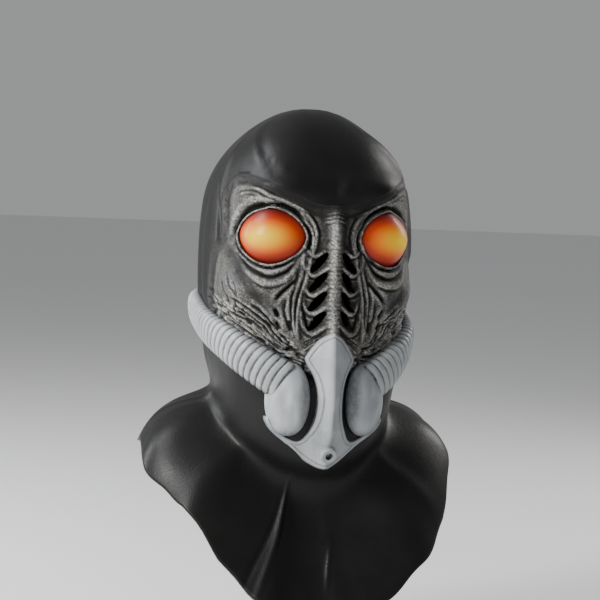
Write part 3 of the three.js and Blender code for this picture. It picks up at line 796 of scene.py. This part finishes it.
def object_from(name, points, faces):
    """A named object from points in millimetres and faces of any size."""
    mesh = bpy.data.meshes.new(name)
    mesh.from_pydata((np.asarray(points) * MM).tolist(), [], [list(map(int, f)) for f in faces])
    mesh.validate()
    mesh.update()
    mesh.polygons.foreach_set("use_smooth", [True] * len(mesh.polygons))
    made = bpy.data.objects.new(name, mesh)
    bpy.context.scene.collection.objects.link(made)
    return made


def add_values(thing, name, values):
    """A number for each point of a mesh, for its material to read."""
    attribute = thing.data.attributes.new(name, "FLOAT", "POINT")
    attribute.data.foreach_set("value", np.asarray(values, np.float32).ravel())


def add_vectors(thing, name, values):
    """Three numbers for each point of a mesh, for its material to read."""
    attribute = thing.data.attributes.new(name, "FLOAT_VECTOR", "POINT")
    attribute.data.foreach_set("vector", np.asarray(values, np.float32).ravel())


def finish_piece(thing, node, material):
    thing.data.materials.append(material)
    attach(thing, "root")
    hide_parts(node)
    return thing


class Nodes:
    """Short ways to add and link the nodes of one material."""

    def __init__(self, name):
        self.material = bpy.data.materials.new(name)
        self.material.use_nodes = True
        self.tree = self.material.node_tree
        self.shader = self.tree.nodes["Principled BSDF"]

    def add(self, kind, settings=(), **inputs):
        node = self.tree.nodes.new(kind)
        for key, value in dict(settings).items():
            setattr(node, key, value)
        for key, value in inputs.items():
            self.give(node.inputs[key.replace("_", " ")], value)
        return node

    def give(self, socket, value):
        if isinstance(value, bpy.types.NodeSocket):
            self.tree.links.new(value, socket)
        else:
            socket.default_value = value

    def set(self, name, value):
        self.give(self.shader.inputs[name], value)

    def attribute(self, name):
        return self.add("ShaderNodeAttribute", {"attribute_name": name}).outputs["Fac"]

    def place(self):
        return self.add("ShaderNodeTexCoord").outputs["Object"]

    def noise(self, scale, detail=4, rough=0.55, vector=None):
        node = self.add("ShaderNodeTexNoise", Scale=scale, Detail=detail, Roughness=rough)
        self.give(node.inputs["Vector"], vector or self.place())
        return node.outputs["Fac"]

    def stretched(self, scale):
        node = self.add("ShaderNodeMapping", Scale=scale)
        self.give(node.inputs["Vector"], self.place())
        return node.outputs["Vector"]

    def math(self, operation, first, second):
        node = self.add("ShaderNodeMath", {"operation": operation})
        self.give(node.inputs[0], first)
        self.give(node.inputs[1], second)
        return node.outputs[0]

    def spread(self, value, low, high, to_low=0.0, to_high=1.0):
        node = self.add("ShaderNodeMapRange", Value=value)
        for key, number in (("From Min", low), ("From Max", high), ("To Min", to_low), ("To Max", to_high)):
            node.inputs[key].default_value = number
        return node.outputs["Result"]

    def mix(self, share, first, second):
        node = self.add("ShaderNodeMix", {"data_type": "RGBA"})
        self.give(node.inputs["Factor"], share)
        self.give(node.inputs[6], first)
        self.give(node.inputs[7], second)
        return node.outputs[2]

    def bump(self, height, distance, strength=1.0, under=None):
        node = self.add("ShaderNodeBump", Strength=strength, Distance=distance, Height=height)
        if under:
            self.give(node.inputs["Normal"], under)
        return node.outputs["Normal"]


# Colours of the latex, of the shade in its grooves, and of the paint brushed over it
LATEX_BLACK = (0.0035, 0.0035, 0.0038, 1)
LATEX_WORN = (0.0075, 0.0072, 0.0068, 1)
GROOVE_BLACK = (0.0008, 0.0007, 0.0007, 1)
BRUSHED_GREY = (0.36, 0.37, 0.37, 1)
BRUSHED_CREAM = (0.5, 0.48, 0.43, 1)

# Colours of the respirator: its two greys, the wiped streaks, and the dark of wear together with painted
# shade
RESPIRATOR_DARK = (0.28, 0.3, 0.317, 1)
RESPIRATOR_PALE = (0.37, 0.392, 0.405, 1)
RESPIRATOR_WIPED = (0.15, 0.16, 0.168, 1)
RESPIRATOR_WEAR_AND_SHADE = (0.02, 0.021, 0.023, 1)


def latex_look():
    """Glossy black latex, dry-brushed grey over the sculpted face, with painted shade in its grooves."""
    n = Nodes("black_latex")
    bark = n.add("ShaderNodeAttribute", {"attribute_name": "bark"}).outputs["Vector"]
    vein = n.math("ABSOLUTE", n.math("SUBTRACT", n.noise(0.75, 5, 0.62, bark), 0.5), 0.0)
    vein = n.spread(vein, 0.0, 0.045)
    speckle = n.spread(n.noise(700, 5, 0.7), 0.36, 0.6, 0.12, 1.15)
    streaks = n.spread(n.noise(1.0, 5, 0.6, n.stretched((120, 120, 34))), 0.3, 0.62, 0.5, 1.1)
    brushed = n.math("MULTIPLY", n.attribute("paint"), n.math("MULTIPLY", streaks, speckle))
    brushed = n.math("MULTIPLY", brushed, n.spread(vein, 0, 1, 0.3, 1))
    grey = n.mix(n.spread(n.noise(42, 4), 0.35, 0.65), BRUSHED_GREY, BRUSHED_CREAM)
    black = n.mix(n.spread(n.noise(16, 5), 0.3, 0.7), LATEX_BLACK, LATEX_WORN)
    # Painted shade in the grooves, carried by the groove shade attribute
    black = n.mix(n.attribute("groove_shade"), black, GROOVE_BLACK)
    n.set("Base Color", n.mix(brushed, black, grey))
    smear = n.spread(n.noise(28, 6, 0.62), 0.3, 0.7, 0.32, 0.5)
    matt = n.math("MAXIMUM", brushed, n.attribute("groove_shade"))
    n.set("Roughness", n.math("ADD", smear, n.math("MULTIPLY", matt, 0.25)))
    n.set("Specular IOR Level", 0.22)
    fine = n.bump(n.noise(1400, 3), 0.00012, 0.35)
    wavy = n.bump(n.noise(120, 3), 0.0004, 0.25, fine)
    pitted = n.bump(n.noise(520, 4, 0.6), 0.0005, 0.35, wavy)
    n.set("Normal", n.bump(vein, 0.0004, 0.5, pitted))
    return n.material


def respirator_look():
    """Grey satin latex paint, mottled, with darker places that are partly wear and partly painted shade."""
    n = Nodes("grey_latex")
    cloud = n.noise(30, 5, 0.6)
    wipe = n.noise(1.0, 5, 0.6, n.stretched((110, 110, 26)))
    grey = n.mix(n.spread(cloud, 0.32, 0.68), RESPIRATOR_DARK, RESPIRATOR_PALE)
    wiped = n.mix(n.spread(wipe, 0.3, 0.56, 0.5, 0), grey, RESPIRATOR_WIPED)
    # Darker places: some wear, and painted shade in grooves, in the bore, between parts and under edges
    wear_and_shade = n.attribute("wear_and_shade")
    rubbed_and_shaded = n.math("MULTIPLY", wear_and_shade, n.spread(n.noise(260, 5, 0.65), 0.3, 0.62, 0.35, 1.2))
    n.set("Base Color", n.mix(rubbed_and_shaded, wiped, RESPIRATOR_WEAR_AND_SHADE))
    n.set("Roughness", n.spread(n.noise(70, 5), 0.3, 0.7, 0.36, 0.52))
    n.set("Specular IOR Level", 0.5)
    fine = n.bump(n.noise(1500, 3), 0.0001, 0.3)
    n.set("Normal", n.bump(n.noise(85, 4, 0.6), 0.0006, 0.3, fine))
    return n.material


# Colour of the eye paint: heat from 0 in the middle to 1 at the rim, then red, green and blue
EYE_COLOURS = [
    (0.0, 0.56, 0.35, 0.004),
    (0.2, 0.5, 0.22, 0.001),
    (0.36, 0.42, 0.085, 0.001),
    (0.52, 0.25, 0.018, 0.002),
    (0.7, 0.1, 0.005, 0.002),
    (1.0, 0.02, 0.002, 0.002),
]
FIBRE_COLOUR = (0.12, 0.006, 0.002, 1)

# Spread of the heat over an eye, with one hotter spot in it, as distances across and down
HEAT_MIDDLE = (1.5, 0.5)
HEAT_REACH = (29, 15.5)
HEAT_GAIN = 0.56
HEAT_POWER = 1.2
HEAT_RIM_START = 0.9
HEAT_RIM_GAIN = 1.2
HOT_SPOT = (11, 2)
HOT_SPOT_REACH = (9, 6)
HOT_SPOT_GAIN = 0.13


def eye_look():
    """A yellow, orange and red fade under clear gloss, with fine radial fibres, glowing faintly as painted
    light.
    """
    n = Nodes("eye_paint")
    fade = n.add("ShaderNodeAttribute", {"attribute_name": "fade"}).outputs["Color"]
    rays = n.add("ShaderNodeAttribute", {"attribute_name": "rays"}).outputs["Vector"]
    fibre = n.noise(9.0, 6, 0.7, rays)
    dark = n.math("MULTIPLY", n.spread(fibre, 0.46, 0.66, 0, 0.75), n.attribute("heat"))
    colour = n.mix(dark, fade, FIBRE_COLOUR)
    n.set("Base Color", colour)
    # Painted light: the painted eyes glow faintly, though no lamp is in them
    n.set("Emission Color", colour)
    n.set("Emission Strength", 0.7)
    n.set("Roughness", n.spread(n.noise(160, 5, 0.6), 0.3, 0.7, 0.36, 0.5))
    n.set("Specular IOR Level", 0.2)
    n.set("Coat Weight", 0.12)
    n.set("Coat Roughness", 0.2)
    n.set("Normal", n.bump(n.noise(900, 3), 0.0001, 0.25))
    return n.material


# Openings of the lining: share of the eye's outline, then half width, top and bottom over the slits
LINING_EYE_SHARE = 1.12
LINING_GAP_HALF_WIDTH = 26
LINING_GAP_TOP = SLIT_TOP - 12
LINING_GAP_BOTTOM = 180


def make_hood(material):
    """The skin with its lining, crown, hem and the walls of its openings."""
    outer, inner, faces, left_out, numbers, grid = build_hood()
    rows, columns = outer.shape[:2]
    inner_rows, inner_columns = inner.shape[:2]
    points = [outer.reshape(-1, 3)]
    count = rows * columns
    lists = [faces[~left_out]]

    crown = base_point(np.zeros(1), np.zeros(1))
    points.append(crown)
    crown_fan = [(count, j, (j + 1) % columns) for j in range(columns)]
    count += 1

    inner_start = count
    points.append(inner.reshape(-1, 3))
    count += inner_rows * inner_columns
    inner_faces = quads_between(inner_rows, inner_columns, inner_start)
    centres = inner.reshape(-1, 3)[inner_faces - inner_start].mean(1)
    across = np.abs(np.arctan2(centres[:, 0], -centres[:, 1]) * FACE_RADIUS)
    down = SKIN - centres[:, 2]
    left_open = (across < LINING_GAP_HALF_WIDTH) & (down > LINING_GAP_TOP) & (down < LINING_GAP_BOTTOM)
    left_open |= eye_share(across, down) < LINING_EYE_SHARE
    lists.append(inner_faces[~left_open][:, ::-1])
    points.append(crown - (0, 0, SKIN))
    ring = np.arange(inner_columns)
    inner_crown = [(count, inner_start + (j + 1) % inner_columns, inner_start + j) for j in ring]
    count += 1

    hem_outer = (rows - 1) * columns + np.arange(columns)
    hem_inner = inner_start + (inner_rows - 1) * inner_columns
    hem = []
    for j in range(columns):
        k = (j + 1) % columns
        a, b = (hem_inner + (column // LINING_COLUMN_STEP) % inner_columns for column in (j, k))
        hem.append((hem_outer[k], hem_outer[j], a) if a == b else (hem_outer[k], hem_outer[j], a, b))

    every = np.vstack(points)
    thing = object_from("hood_skin", every, [*np.vstack(lists), *crown_fan, *inner_crown, *hem])
    lip_walls(thing, rows * columns)
    total = len(thing.data.vertices)
    for name, values in numbers.items():
        full = np.zeros(total)
        full[:rows * columns] = values.ravel()
        add_values(thing, name, full)
    full = np.zeros((total, 3))
    full[:rows * columns] = grid.reshape(-1, 3)
    add_vectors(thing, "bark", full)
    return finish_piece(thing, "hood", material)


def lip_walls(thing, outer_count):
    """Walls going in from the edges of the eye openings and slits."""
    made = bmesh.new()
    made.from_mesh(thing.data)
    made.verts.ensure_lookup_table()
    made.normal_update()
    rims = [e for e in made.edges if e.is_boundary and max(v.index for v in e.verts) < outer_count]
    inward = {}
    for e in rims:
        for v in e.verts:
            if v not in inward:
                inward[v] = v.co - v.normal * LIP_DEPTH * MM
    grown = bmesh.ops.extrude_edge_only(made, edges=rims)
    sources = {tuple(v.co): place for v, place in inward.items()}
    for v in grown["geom"]:
        if isinstance(v, bmesh.types.BMVert):
            v.co = sources[tuple(v.co)]
    made.to_mesh(thing.data)
    made.free()
    thing.data.polygons.foreach_set("use_smooth", [True] * len(thing.data.polygons))


def signed_power(value, power):
    """A power of the size of a value, with the value's sign."""
    return np.sign(value) * np.abs(value) ** power


def turned(faces, mirrored):
    """Faces turned over where their piece is mirrored."""
    return [tuple(reversed(tuple(f))) for f in faces] if mirrored else faces


def tube_faces(rows, columns, mirrored):
    """Faces of rings that follow each other, with a cap at each end."""
    ring = np.arange(columns)
    caps = [tuple(ring), tuple((rows - 1) * columns + ring[::-1])]
    return turned([*quads_between(rows, columns), *caps], mirrored)


def make_eye(side, name, material):
    """A domed inlay, its rim tucked under the lids."""
    shares = np.linspace(0.02, 1.07, 46)[:, None]
    turn = np.linspace(0, 2 * np.pi, 120, endpoint=False)[None, :]
    power = 2 / EYE_CORNER_POWER
    x = signed_power(np.cos(turn), power) * EYE_HALF_LENGTH * shares
    y = signed_power(np.sin(turn), power) * EYE_HALF_HEIGHT * shares
    rise = EYE_DOME * (1 - shares**2) - EYE_RIM_DEPTH + 0 * turn
    front = face_point(side * (EYE_ACROSS + x), EYE_DOWN + y, rise)
    back = face_point(side * (EYE_ACROSS + x), EYE_DOWN + y, rise - SKIN)
    rows, columns = front.shape[:2]
    points = np.vstack([front.reshape(-1, 3), back.reshape(-1, 3)])
    count = rows * columns
    front_faces = quads_between(rows, columns)
    back_faces = quads_between(rows, columns, count)[:, ::-1]
    ring = np.arange(columns)
    after = (ring + 1) % columns
    last = (rows - 1) * columns
    rim = np.stack([last + ring, count + last + ring, count + last + after, last + after], -1)
    faces = [*front_faces, *back_faces, *rim, tuple(ring), tuple(count + ring[::-1])]
    thing = object_from(name, points, turned(faces, side > 0))
    from_middle = np.hypot((x - HEAT_MIDDLE[0]) / HEAT_REACH[0], (y - HEAT_MIDDLE[1]) / HEAT_REACH[1])
    heat = HEAT_GAIN * from_middle**HEAT_POWER
    heat += HEAT_RIM_GAIN * np.maximum(shares - HEAT_RIM_START, 0)
    hot_across = bump((x - HOT_SPOT[0]) / HOT_SPOT_REACH[0])
    hot_down = bump((y - HOT_SPOT[1]) / HOT_SPOT_REACH[1])
    heat = np.clip(heat - HOT_SPOT_GAIN * hot_across * hot_down, 0, 1)
    stops = np.array(EYE_COLOURS)
    fade = [np.interp(heat, stops[:, 0], stops[:, k]) for k in (1, 2, 3)]
    fade = np.stack([*fade, np.ones_like(heat)], -1)
    add_values(thing, "heat", np.concatenate([heat.ravel()] * 2))
    colours = thing.data.attributes.new("fade", "FLOAT_COLOR", "POINT")
    colours.data.foreach_set("color", np.concatenate([fade.ravel()] * 2).astype(np.float32))
    zero = 0 * shares * turn
    rays = np.stack([np.cos(turn) + zero, np.sin(turn) + zero, 0.25 * shares + zero], -1)
    add_vectors(thing, "rays", np.concatenate([rays.reshape(-1, 3)] * 2))
    return finish_piece(thing, name.replace("_dome", ""), material)


def plate_reach(x, down):
    """Forward reach of the plate's keeled front at a place across and down."""
    profile = np.array(PLATE_PROFILE)
    crest = PLATE_CREST * np.interp((down - PLATE_TOP) / PLATE_HEIGHT, profile[:, 0], profile[:, 1])
    away = np.hypot(x, PLATE_CREASE) - PLATE_CREASE
    return crest - PLATE_FALL * (1 - np.exp(-away / PLATE_FALL_LENGTH))


def head_reach(x, down):
    """Forward reach of the sculpted skin at a place across and down, straight on from the front."""
    reach = np.full_like(x, float(HEAD_FRONT))
    for _ in range(7):
        angle = np.arctan2(x, reach)
        place = place_at(angle, down)
        reach = -raised(angle, place, main_relief(angle, down, place))[..., 1]
    return reach


# Plate: rounding of its edge, the line pressed in beside it, width of its grid, how far its back is in
# the skin, and its least thickness
PLATE_EDGE_RADIUS = 1.8
PLATE_LINE_INSET = 3.0
PLATE_LINE_DEPTH = 0.75
PLATE_LINE_HALF_WIDTH = 0.6
PLATE_CELL = 0.62
PLATE_SINK = 0.9
PLATE_LEAST = 1.5


def make_plate(material):
    """The keeled plate: a fine grid trimmed to its outline, with a rounded edge and an inset line."""
    half = np.array(PLATE_OUTLINE) * (PLATE_HALF_WIDTH, PLATE_HEIGHT) + (0, PLATE_TOP)
    right = smooth_line(half, 8)
    right[:, 0] = np.maximum(right[:, 0], 0)
    outline = np.vstack([right, (right * (-1, 1))[-2:0:-1]])
    cell = PLATE_CELL
    xs = np.arange(-PLATE_HALF_WIDTH - cell, PLATE_HALF_WIDTH + 2 * cell, cell)
    downs = np.arange(PLATE_TOP - cell, PLATE_TOP + PLATE_HEIGHT + 2 * cell, cell)
    down, x = np.meshgrid(downs, xs, indexing="ij")
    x, down = x.ravel(), down.ravel()
    rows, columns = len(downs), len(xs)
    i, j = np.meshgrid(np.arange(rows - 1), np.arange(columns - 1), indexing="ij")
    a = (i * columns + j).ravel()
    faces = np.stack([a, a + columns, a + columns + 1, a + 1], -1)
    centre_in = inside_outline(x[faces].mean(1), down[faces].mean(1), outline)
    faces = faces[centre_in]
    used = np.unique(faces)
    numbers = np.full(len(x), -1)
    numbers[used] = np.arange(len(used))
    faces = numbers[faces]
    x, down = x[used], down[used]
    edges = np.vstack([faces[:, [k, (k + 1) % 4]] for k in range(4)])
    ordered = np.sort(edges, 1)
    _, first, counts = np.unique(ordered, axis=0, return_index=True, return_counts=True)
    rim = edges[first[counts == 1]]
    on_rim = np.unique(rim)
    closed = np.vstack([outline, outline[:1]])
    x[on_rim], down[on_rim] = nearest_on(x[on_rim], down[on_rim], closed)
    near_x, near_down = nearest_on(x, down, closed)
    inset = np.hypot(x - near_x, down - near_down)
    corner = np.clip(1 - inset / PLATE_EDGE_RADIUS, 0, 1)
    front = plate_reach(x, down) - PLATE_EDGE_RADIUS * (1 - np.sqrt(1 - corner**2 * 0.98))
    front -= PLATE_LINE_DEPTH * np.exp(-(((inset - PLATE_LINE_INSET) / PLATE_LINE_HALF_WIDTH) ** 2))
    sheet = np.stack([x, down, 0 * x], -1)
    front += 0.16 * noise(sheet, 17, 4)
    back = np.minimum(head_reach(x, down) - PLATE_SINK, front - PLATE_LEAST)
    points = np.vstack([np.stack([x, -front, SKIN - down], -1), np.stack([x, -back, SKIN - down], -1)])
    count = len(x)
    walls = np.stack([rim[:, 1], rim[:, 0], rim[:, 0] + count, rim[:, 1] + count], -1)
    thing = object_from("respirator_plate_shell", points, [*faces, *(faces[:, ::-1] + count), *walls])
    thing.data.set_sharp_from_angle(angle=math.radians(50))
    # Painted shade along the pressed line; darker along the lower rim; the back is dark
    line = np.exp(-(((inset - PLATE_LINE_INSET) / 0.55) ** 2))
    lower = smooth_step(PLATE_TOP + 0.5 * PLATE_HEIGHT, PLATE_TOP + PLATE_HEIGHT, down)
    wear_and_shade = np.clip(0.55 * line + 0.3 * np.exp(-inset / 0.8) * lower, 0, 1)
    add_values(thing, "wear_and_shade", np.concatenate([wear_and_shade, np.full(count, 0.9)]))
    return finish_piece(thing, "respirator_plate", material)


def nearest_on(x, y, line):
    """The nearest points on a line."""
    start, step = line[:-1], np.diff(line, axis=0)
    length = np.maximum((step**2).sum(1), 1e-9)
    best = np.full(len(x), np.inf)
    near_x, near_y = x.copy(), y.copy()
    for (ax, ay), (dx, dy), ll in zip(start, step, length):
        t = np.clip(((x - ax) * dx + (y - ay) * dy) / ll, 0, 1)
        px, py = ax + t * dx, ay + t * dy
        distance = (x - px) ** 2 + (y - py) ** 2
        closer = distance < best
        best = np.where(closer, distance, best)
        near_x, near_y = np.where(closer, px, near_x), np.where(closer, py, near_y)
    return near_x, near_y


# Soft dents of a pod: place across and up as shares of its half sizes, half width, depth
POD_DENTS = [
    (-0.15, 0.05, 0.28, 1.5), (0.3, -0.5, 0.3, 1.0), (-0.45, -0.35, 0.25, 0.9), (0.15, 0.6, 0.25, 0.7),
]
POD_ROUNDNESS = 0.86
POD_SQUARENESS = 0.92


def make_pod(side, name, material):
    """A rounded filter pod with a few soft dents."""
    tilt = np.linspace(0.02, math.pi - 0.02, 72)[:, None]
    turn = np.linspace(0, 2 * np.pi, 96, endpoint=False)[None, :]
    across = np.sin(tilt) ** POD_ROUNDNESS * signed_power(np.cos(turn), POD_SQUARENESS)
    out = np.sin(tilt) ** POD_ROUNDNESS * signed_power(np.sin(turn), POD_SQUARENESS)
    up = np.cos(tilt) + 0 * turn
    x, y, z = across * POD_HALF_WIDTH, out * POD_HALF_DEPTH, up * POD_HALF_HEIGHT
    for dent_across, dent_up, width, depth in POD_DENTS:
        spread = bump((across - dent_across) / width) * bump((up - dent_up) / width)
        y = y - np.where(out > 0, depth * spread, 0)
    c, s = math.cos(POD_TURN), math.sin(POD_TURN)
    forward = float(plate_reach(POD_ACROSS, POD_DOWN)) - POD_SINK
    points = [side * (POD_ACROSS + x * c + y * s), x * s - y * c - forward, SKIN - POD_DOWN + z]
    points = np.stack(points, -1)
    points = points + 0.12 * noise(points, 9, 6)[..., None] * np.array([0, -1, 0])
    thing = object_from(name, points.reshape(-1, 3), tube_faces(*points.shape[:2], side < 0))
    # Painted shade: darker towards the plate side and the bottom, between the parts and under the pod
    inner_edge = smooth_step(0.62, 0.98, -across) + smooth_step(0.72, 1.0, -up)
    wear_and_shade = np.clip(0.5 * inner_edge, 0, 1) + 0 * up
    add_values(thing, "wear_and_shade", wear_and_shade)
    return finish_piece(thing, name.replace("_shell", ""), material)


# Hose: points along a rib, share of a rib that its groove takes, ribs over which the rear end falls,
# how far the ribs bow forward, how far they are set back, the depth of the root and the least rise
HOSE_RIB_STEPS = 10
HOSE_GROOVE_SHARE = 0.13
HOSE_END_RIBS = 0.8
HOSE_BOW = 2.4
HOSE_SET_BACK = 1.2
HOSE_ROOT_DEPTH = 1.6
HOSE_LEAST_RISE = 0.4


def make_hose(side, name, material):
    """A flattened hose in close ribs with narrow rounded grooves, rooted in the skin."""
    line = smooth_line(np.array(HOSE_LINE) * (math.radians(1) * FACE_RADIUS, FACE_DROP), 40)
    steps = np.linalg.norm(np.diff(line, axis=0), axis=1)
    run = np.concatenate([[0], np.cumsum(steps)])
    t = np.linspace(0, 1, HOSE_RIBS * HOSE_RIB_STEPS + 1)
    centre = np.stack([np.interp(t * run[-1], run, line[:, k]) for k in (0, 1)], -1)
    along = np.gradient(centre, axis=0)
    along /= np.linalg.norm(along, axis=1, keepdims=True)
    phase = (t * HOSE_RIBS) % 1
    groove = np.exp(-((np.minimum(phase, 1 - phase) / HOSE_GROOVE_SHARE) ** 2))
    end = 1 - np.exp(-((1 - t) * HOSE_RIBS / HOSE_END_RIBS))
    half = HOSE_FRONT_HALF_WIDTH + (HOSE_REAR_HALF_WIDTH - HOSE_FRONT_HALF_WIDTH) * t
    half = half - 0.5 * groove
    turn = np.linspace(0, math.pi, 27)[None, :]
    wide = -half[:, None] * signed_power(np.cos(turn), 0.8)
    bow = HOSE_BOW * (1 - (wide / half[:, None]) ** 2)[..., None] * along[:, None, :]
    height = (HOSE_HEIGHT * end - HOSE_GROOVE_DEPTH * groove)[:, None] * np.sin(turn) ** 0.6
    u = centre[:, None, 0] - along[:, None, 1] * wide + bow[..., 0] - HOSE_SET_BACK
    v = centre[:, None, 1] + along[:, None, 0] * wide + bow[..., 1]
    angle = side * u / FACE_RADIUS
    root = main_relief(angle, v, place_at(angle, v)) - HOSE_ROOT_DEPTH
    rim = np.zeros_like(turn)
    rim[0, [0, -1]] = 1
    rise = np.where(rim > 0, root, np.maximum(height, HOSE_LEAST_RISE))
    points = face_point(side * u, v, rise)
    thing = object_from(name, points.reshape(-1, 3), tube_faces(*points.shape[:2], side < 0))
    # Painted shade in the grooves between the ribs; the lower edge is darker, partly worn paint and partly
    # painted shade under the hose
    low_edge = smooth_step(0.72, 1.0, wide / half[:, None]) * 0.9
    wear_and_shade = np.clip(1.25 * groove[:, None] ** 2 + low_edge, 0, 1)
    add_values(thing, "wear_and_shade", wear_and_shade)
    return finish_piece(thing, name.replace("_ribs", ""), material)


def make_valve(material):
    """The valve boss: a turned ring with rounded edges round its bore."""
    edge, lip = VALVE_CHAMFER, VALVE_BORE_EDGE
    outer = [(VALVE_RADIUS, -VALVE_DEPTH)]
    inner = []
    for a in np.linspace(0, math.pi / 2, 7):
        c, s = math.cos(a), math.sin(a)
        outer.append((VALVE_RADIUS - edge + edge * c, VALVE_RISE - edge + edge * s))
        inner.append((VALVE_BORE_RADIUS + lip - lip * s, VALVE_RISE - lip + lip * c))
    profile = np.array(outer + inner + [(VALVE_BORE_RADIUS, -VALVE_DEPTH)])
    turn = np.linspace(0, 2 * np.pi, 56, endpoint=False)
    outward = np.array([0, -math.cos(VALVE_LEAN), -math.sin(VALVE_LEAN)])
    upward = np.array([0, -math.sin(VALVE_LEAN), math.cos(VALVE_LEAN)])
    centre = np.array([0, -float(plate_reach(0.0, VALVE_DOWN)), SKIN - VALVE_DOWN])
    radial = np.cos(turn)[:, None] * np.array([1, 0, 0]) + np.sin(turn)[:, None] * upward
    points = centre + profile[:, 1, None, None] * outward + profile[:, 0, None, None] * radial
    rows, columns = points.shape[:2]
    faces = np.roll(quads_between(rows + 1, columns)[:, ::-1], 1, axis=1) % (rows * columns)
    thing = object_from("valve_ring", points.reshape(-1, 3), faces)
    # Painted shade inside the bore
    inside = (profile[:, 0] < VALVE_BORE_RADIUS + 0.3)[:, None] * np.ones(columns)
    add_values(thing, "wear_and_shade", 0.9 * inside)
    return finish_piece(thing, "valve", material)


latex = latex_look()
respirator = respirator_look()
eye_paint = eye_look()
make_hood(latex)
for side_name, side in (("right", -1), ("left", 1)):
    make_eye(side, f"eye_{side_name}_dome", eye_paint)
    make_pod(side, f"pod_{side_name}_shell", respirator)
    make_hose(side, f"hose_{side_name}_ribs", respirator)
make_plate(respirator)
make_valve(respirator)


# Stage: level and half width of the floor, its paint, the surround, and the place the lights aim at
FLOOR_LEVEL = -0.45
FLOOR_REACH = 12
FLOOR_COLOUR = (0.8, 0.8, 0.8, 1)
SURROUND_COLOUR = (0.78, 0.79, 0.8, 1)
SURROUND_STRENGTH = 0.42
LIGHT_AIM = (0, 0, -0.17)

# Lights: name, place, size, power, colour
LIGHTS = [
    ("key", (-1.5, -0.55, 0.42), (0.4, 0.8), 44, (1, 0.985, 0.96)),
    ("top", (-1.0, 0.3, 1.0), (0.7, 0.6), 18, (0.95, 0.97, 1)),
    ("edge", (-1.1, 0.75, 0.1), (0.3, 0.9), 9, (0.96, 0.98, 1)),
    ("rim", (1.2, 0.55, 0.45), (0.2, 0.7), 8, (1, 0.98, 0.94)),
]


def area_light(name, place, size, power, colour):
    """A flat light aimed at the mask's middle."""
    data = bpy.data.lights.new(name, "AREA")
    data.shape = "RECTANGLE"
    data.size, data.size_y = size
    data.energy = power
    data.color = colour
    light = bpy.data.objects.new(name, data)
    light.location = place
    light.rotation_euler = (Vector(LIGHT_AIM) - Vector(place)).to_track_quat("-Z", "Y").to_euler()
    bpy.context.scene.collection.objects.link(light)


def make_stage():
    """A pale floor below the hanging mask, a pale surround and soft light mostly from one side."""
    corners = [(-FLOOR_REACH, -FLOOR_REACH), (FLOOR_REACH, -FLOOR_REACH)]
    corners += [(FLOOR_REACH, FLOOR_REACH), (-FLOOR_REACH, FLOOR_REACH)]
    mesh = bpy.data.meshes.new("floor")
    mesh.from_pydata([(x, y, FLOOR_LEVEL) for x, y in corners], [], [(0, 1, 2, 3)])
    floor = bpy.data.objects.new("floor", mesh)
    bpy.context.scene.collection.objects.link(floor)
    n = Nodes("floor")
    n.set("Base Color", FLOOR_COLOUR)
    n.set("Roughness", 0.8)
    mesh.materials.append(n.material)
    world = bpy.data.worlds.new("surround")
    world.use_nodes = True
    background = world.node_tree.nodes["Background"].inputs
    background["Color"].default_value = SURROUND_COLOUR
    background["Strength"].default_value = SURROUND_STRENGTH
    bpy.context.scene.world = world
    for light in LIGHTS:
        area_light(*light)


# Camera: turned and raised from straight in front, rolled, with a point of the mask at a set pixel
CAMERA_AZIMUTH = math.radians(-16)
CAMERA_ELEVATION = math.radians(4)
CAMERA_ROLL = math.radians(2.5)
CAMERA_DISTANCE = 1.5
PIXELS_PER_METRE = 1210
IMAGE_SIDE = 600
MIDDLE = Vector((0, 0, -0.1875))
MIDDLE_PIXEL = (300.2, 340)


def make_camera():
    """The camera in front of the mask."""
    a, e, r = CAMERA_AZIMUTH, CAMERA_ELEVATION, CAMERA_ROLL
    back = Vector((math.sin(a) * math.cos(e), -math.cos(a) * math.cos(e), math.sin(e)))
    level = Vector((math.cos(a), math.sin(a), 0))
    upright = back.cross(level)
    right = math.cos(r) * level + math.sin(r) * upright
    up = math.cos(r) * upright - math.sin(r) * level
    data = bpy.data.cameras.new("camera")
    data.sensor_width = 36
    data.lens = data.sensor_width * PIXELS_PER_METRE * CAMERA_DISTANCE / IMAGE_SIDE
    camera = bpy.data.objects.new("camera", data)
    shift = (IMAGE_SIDE / 2 - MIDDLE_PIXEL[0]) / PIXELS_PER_METRE
    rise = (MIDDLE_PIXEL[1] - IMAGE_SIDE / 2) / PIXELS_PER_METRE
    place = MIDDLE + right * shift + up * rise + back * CAMERA_DISTANCE
    camera.matrix_world = Matrix.Translation(place) @ Matrix((right, up, back)).transposed().to_4x4()
    bpy.context.scene.collection.objects.link(camera)
    bpy.context.scene.camera = camera


make_stage()
make_camera()
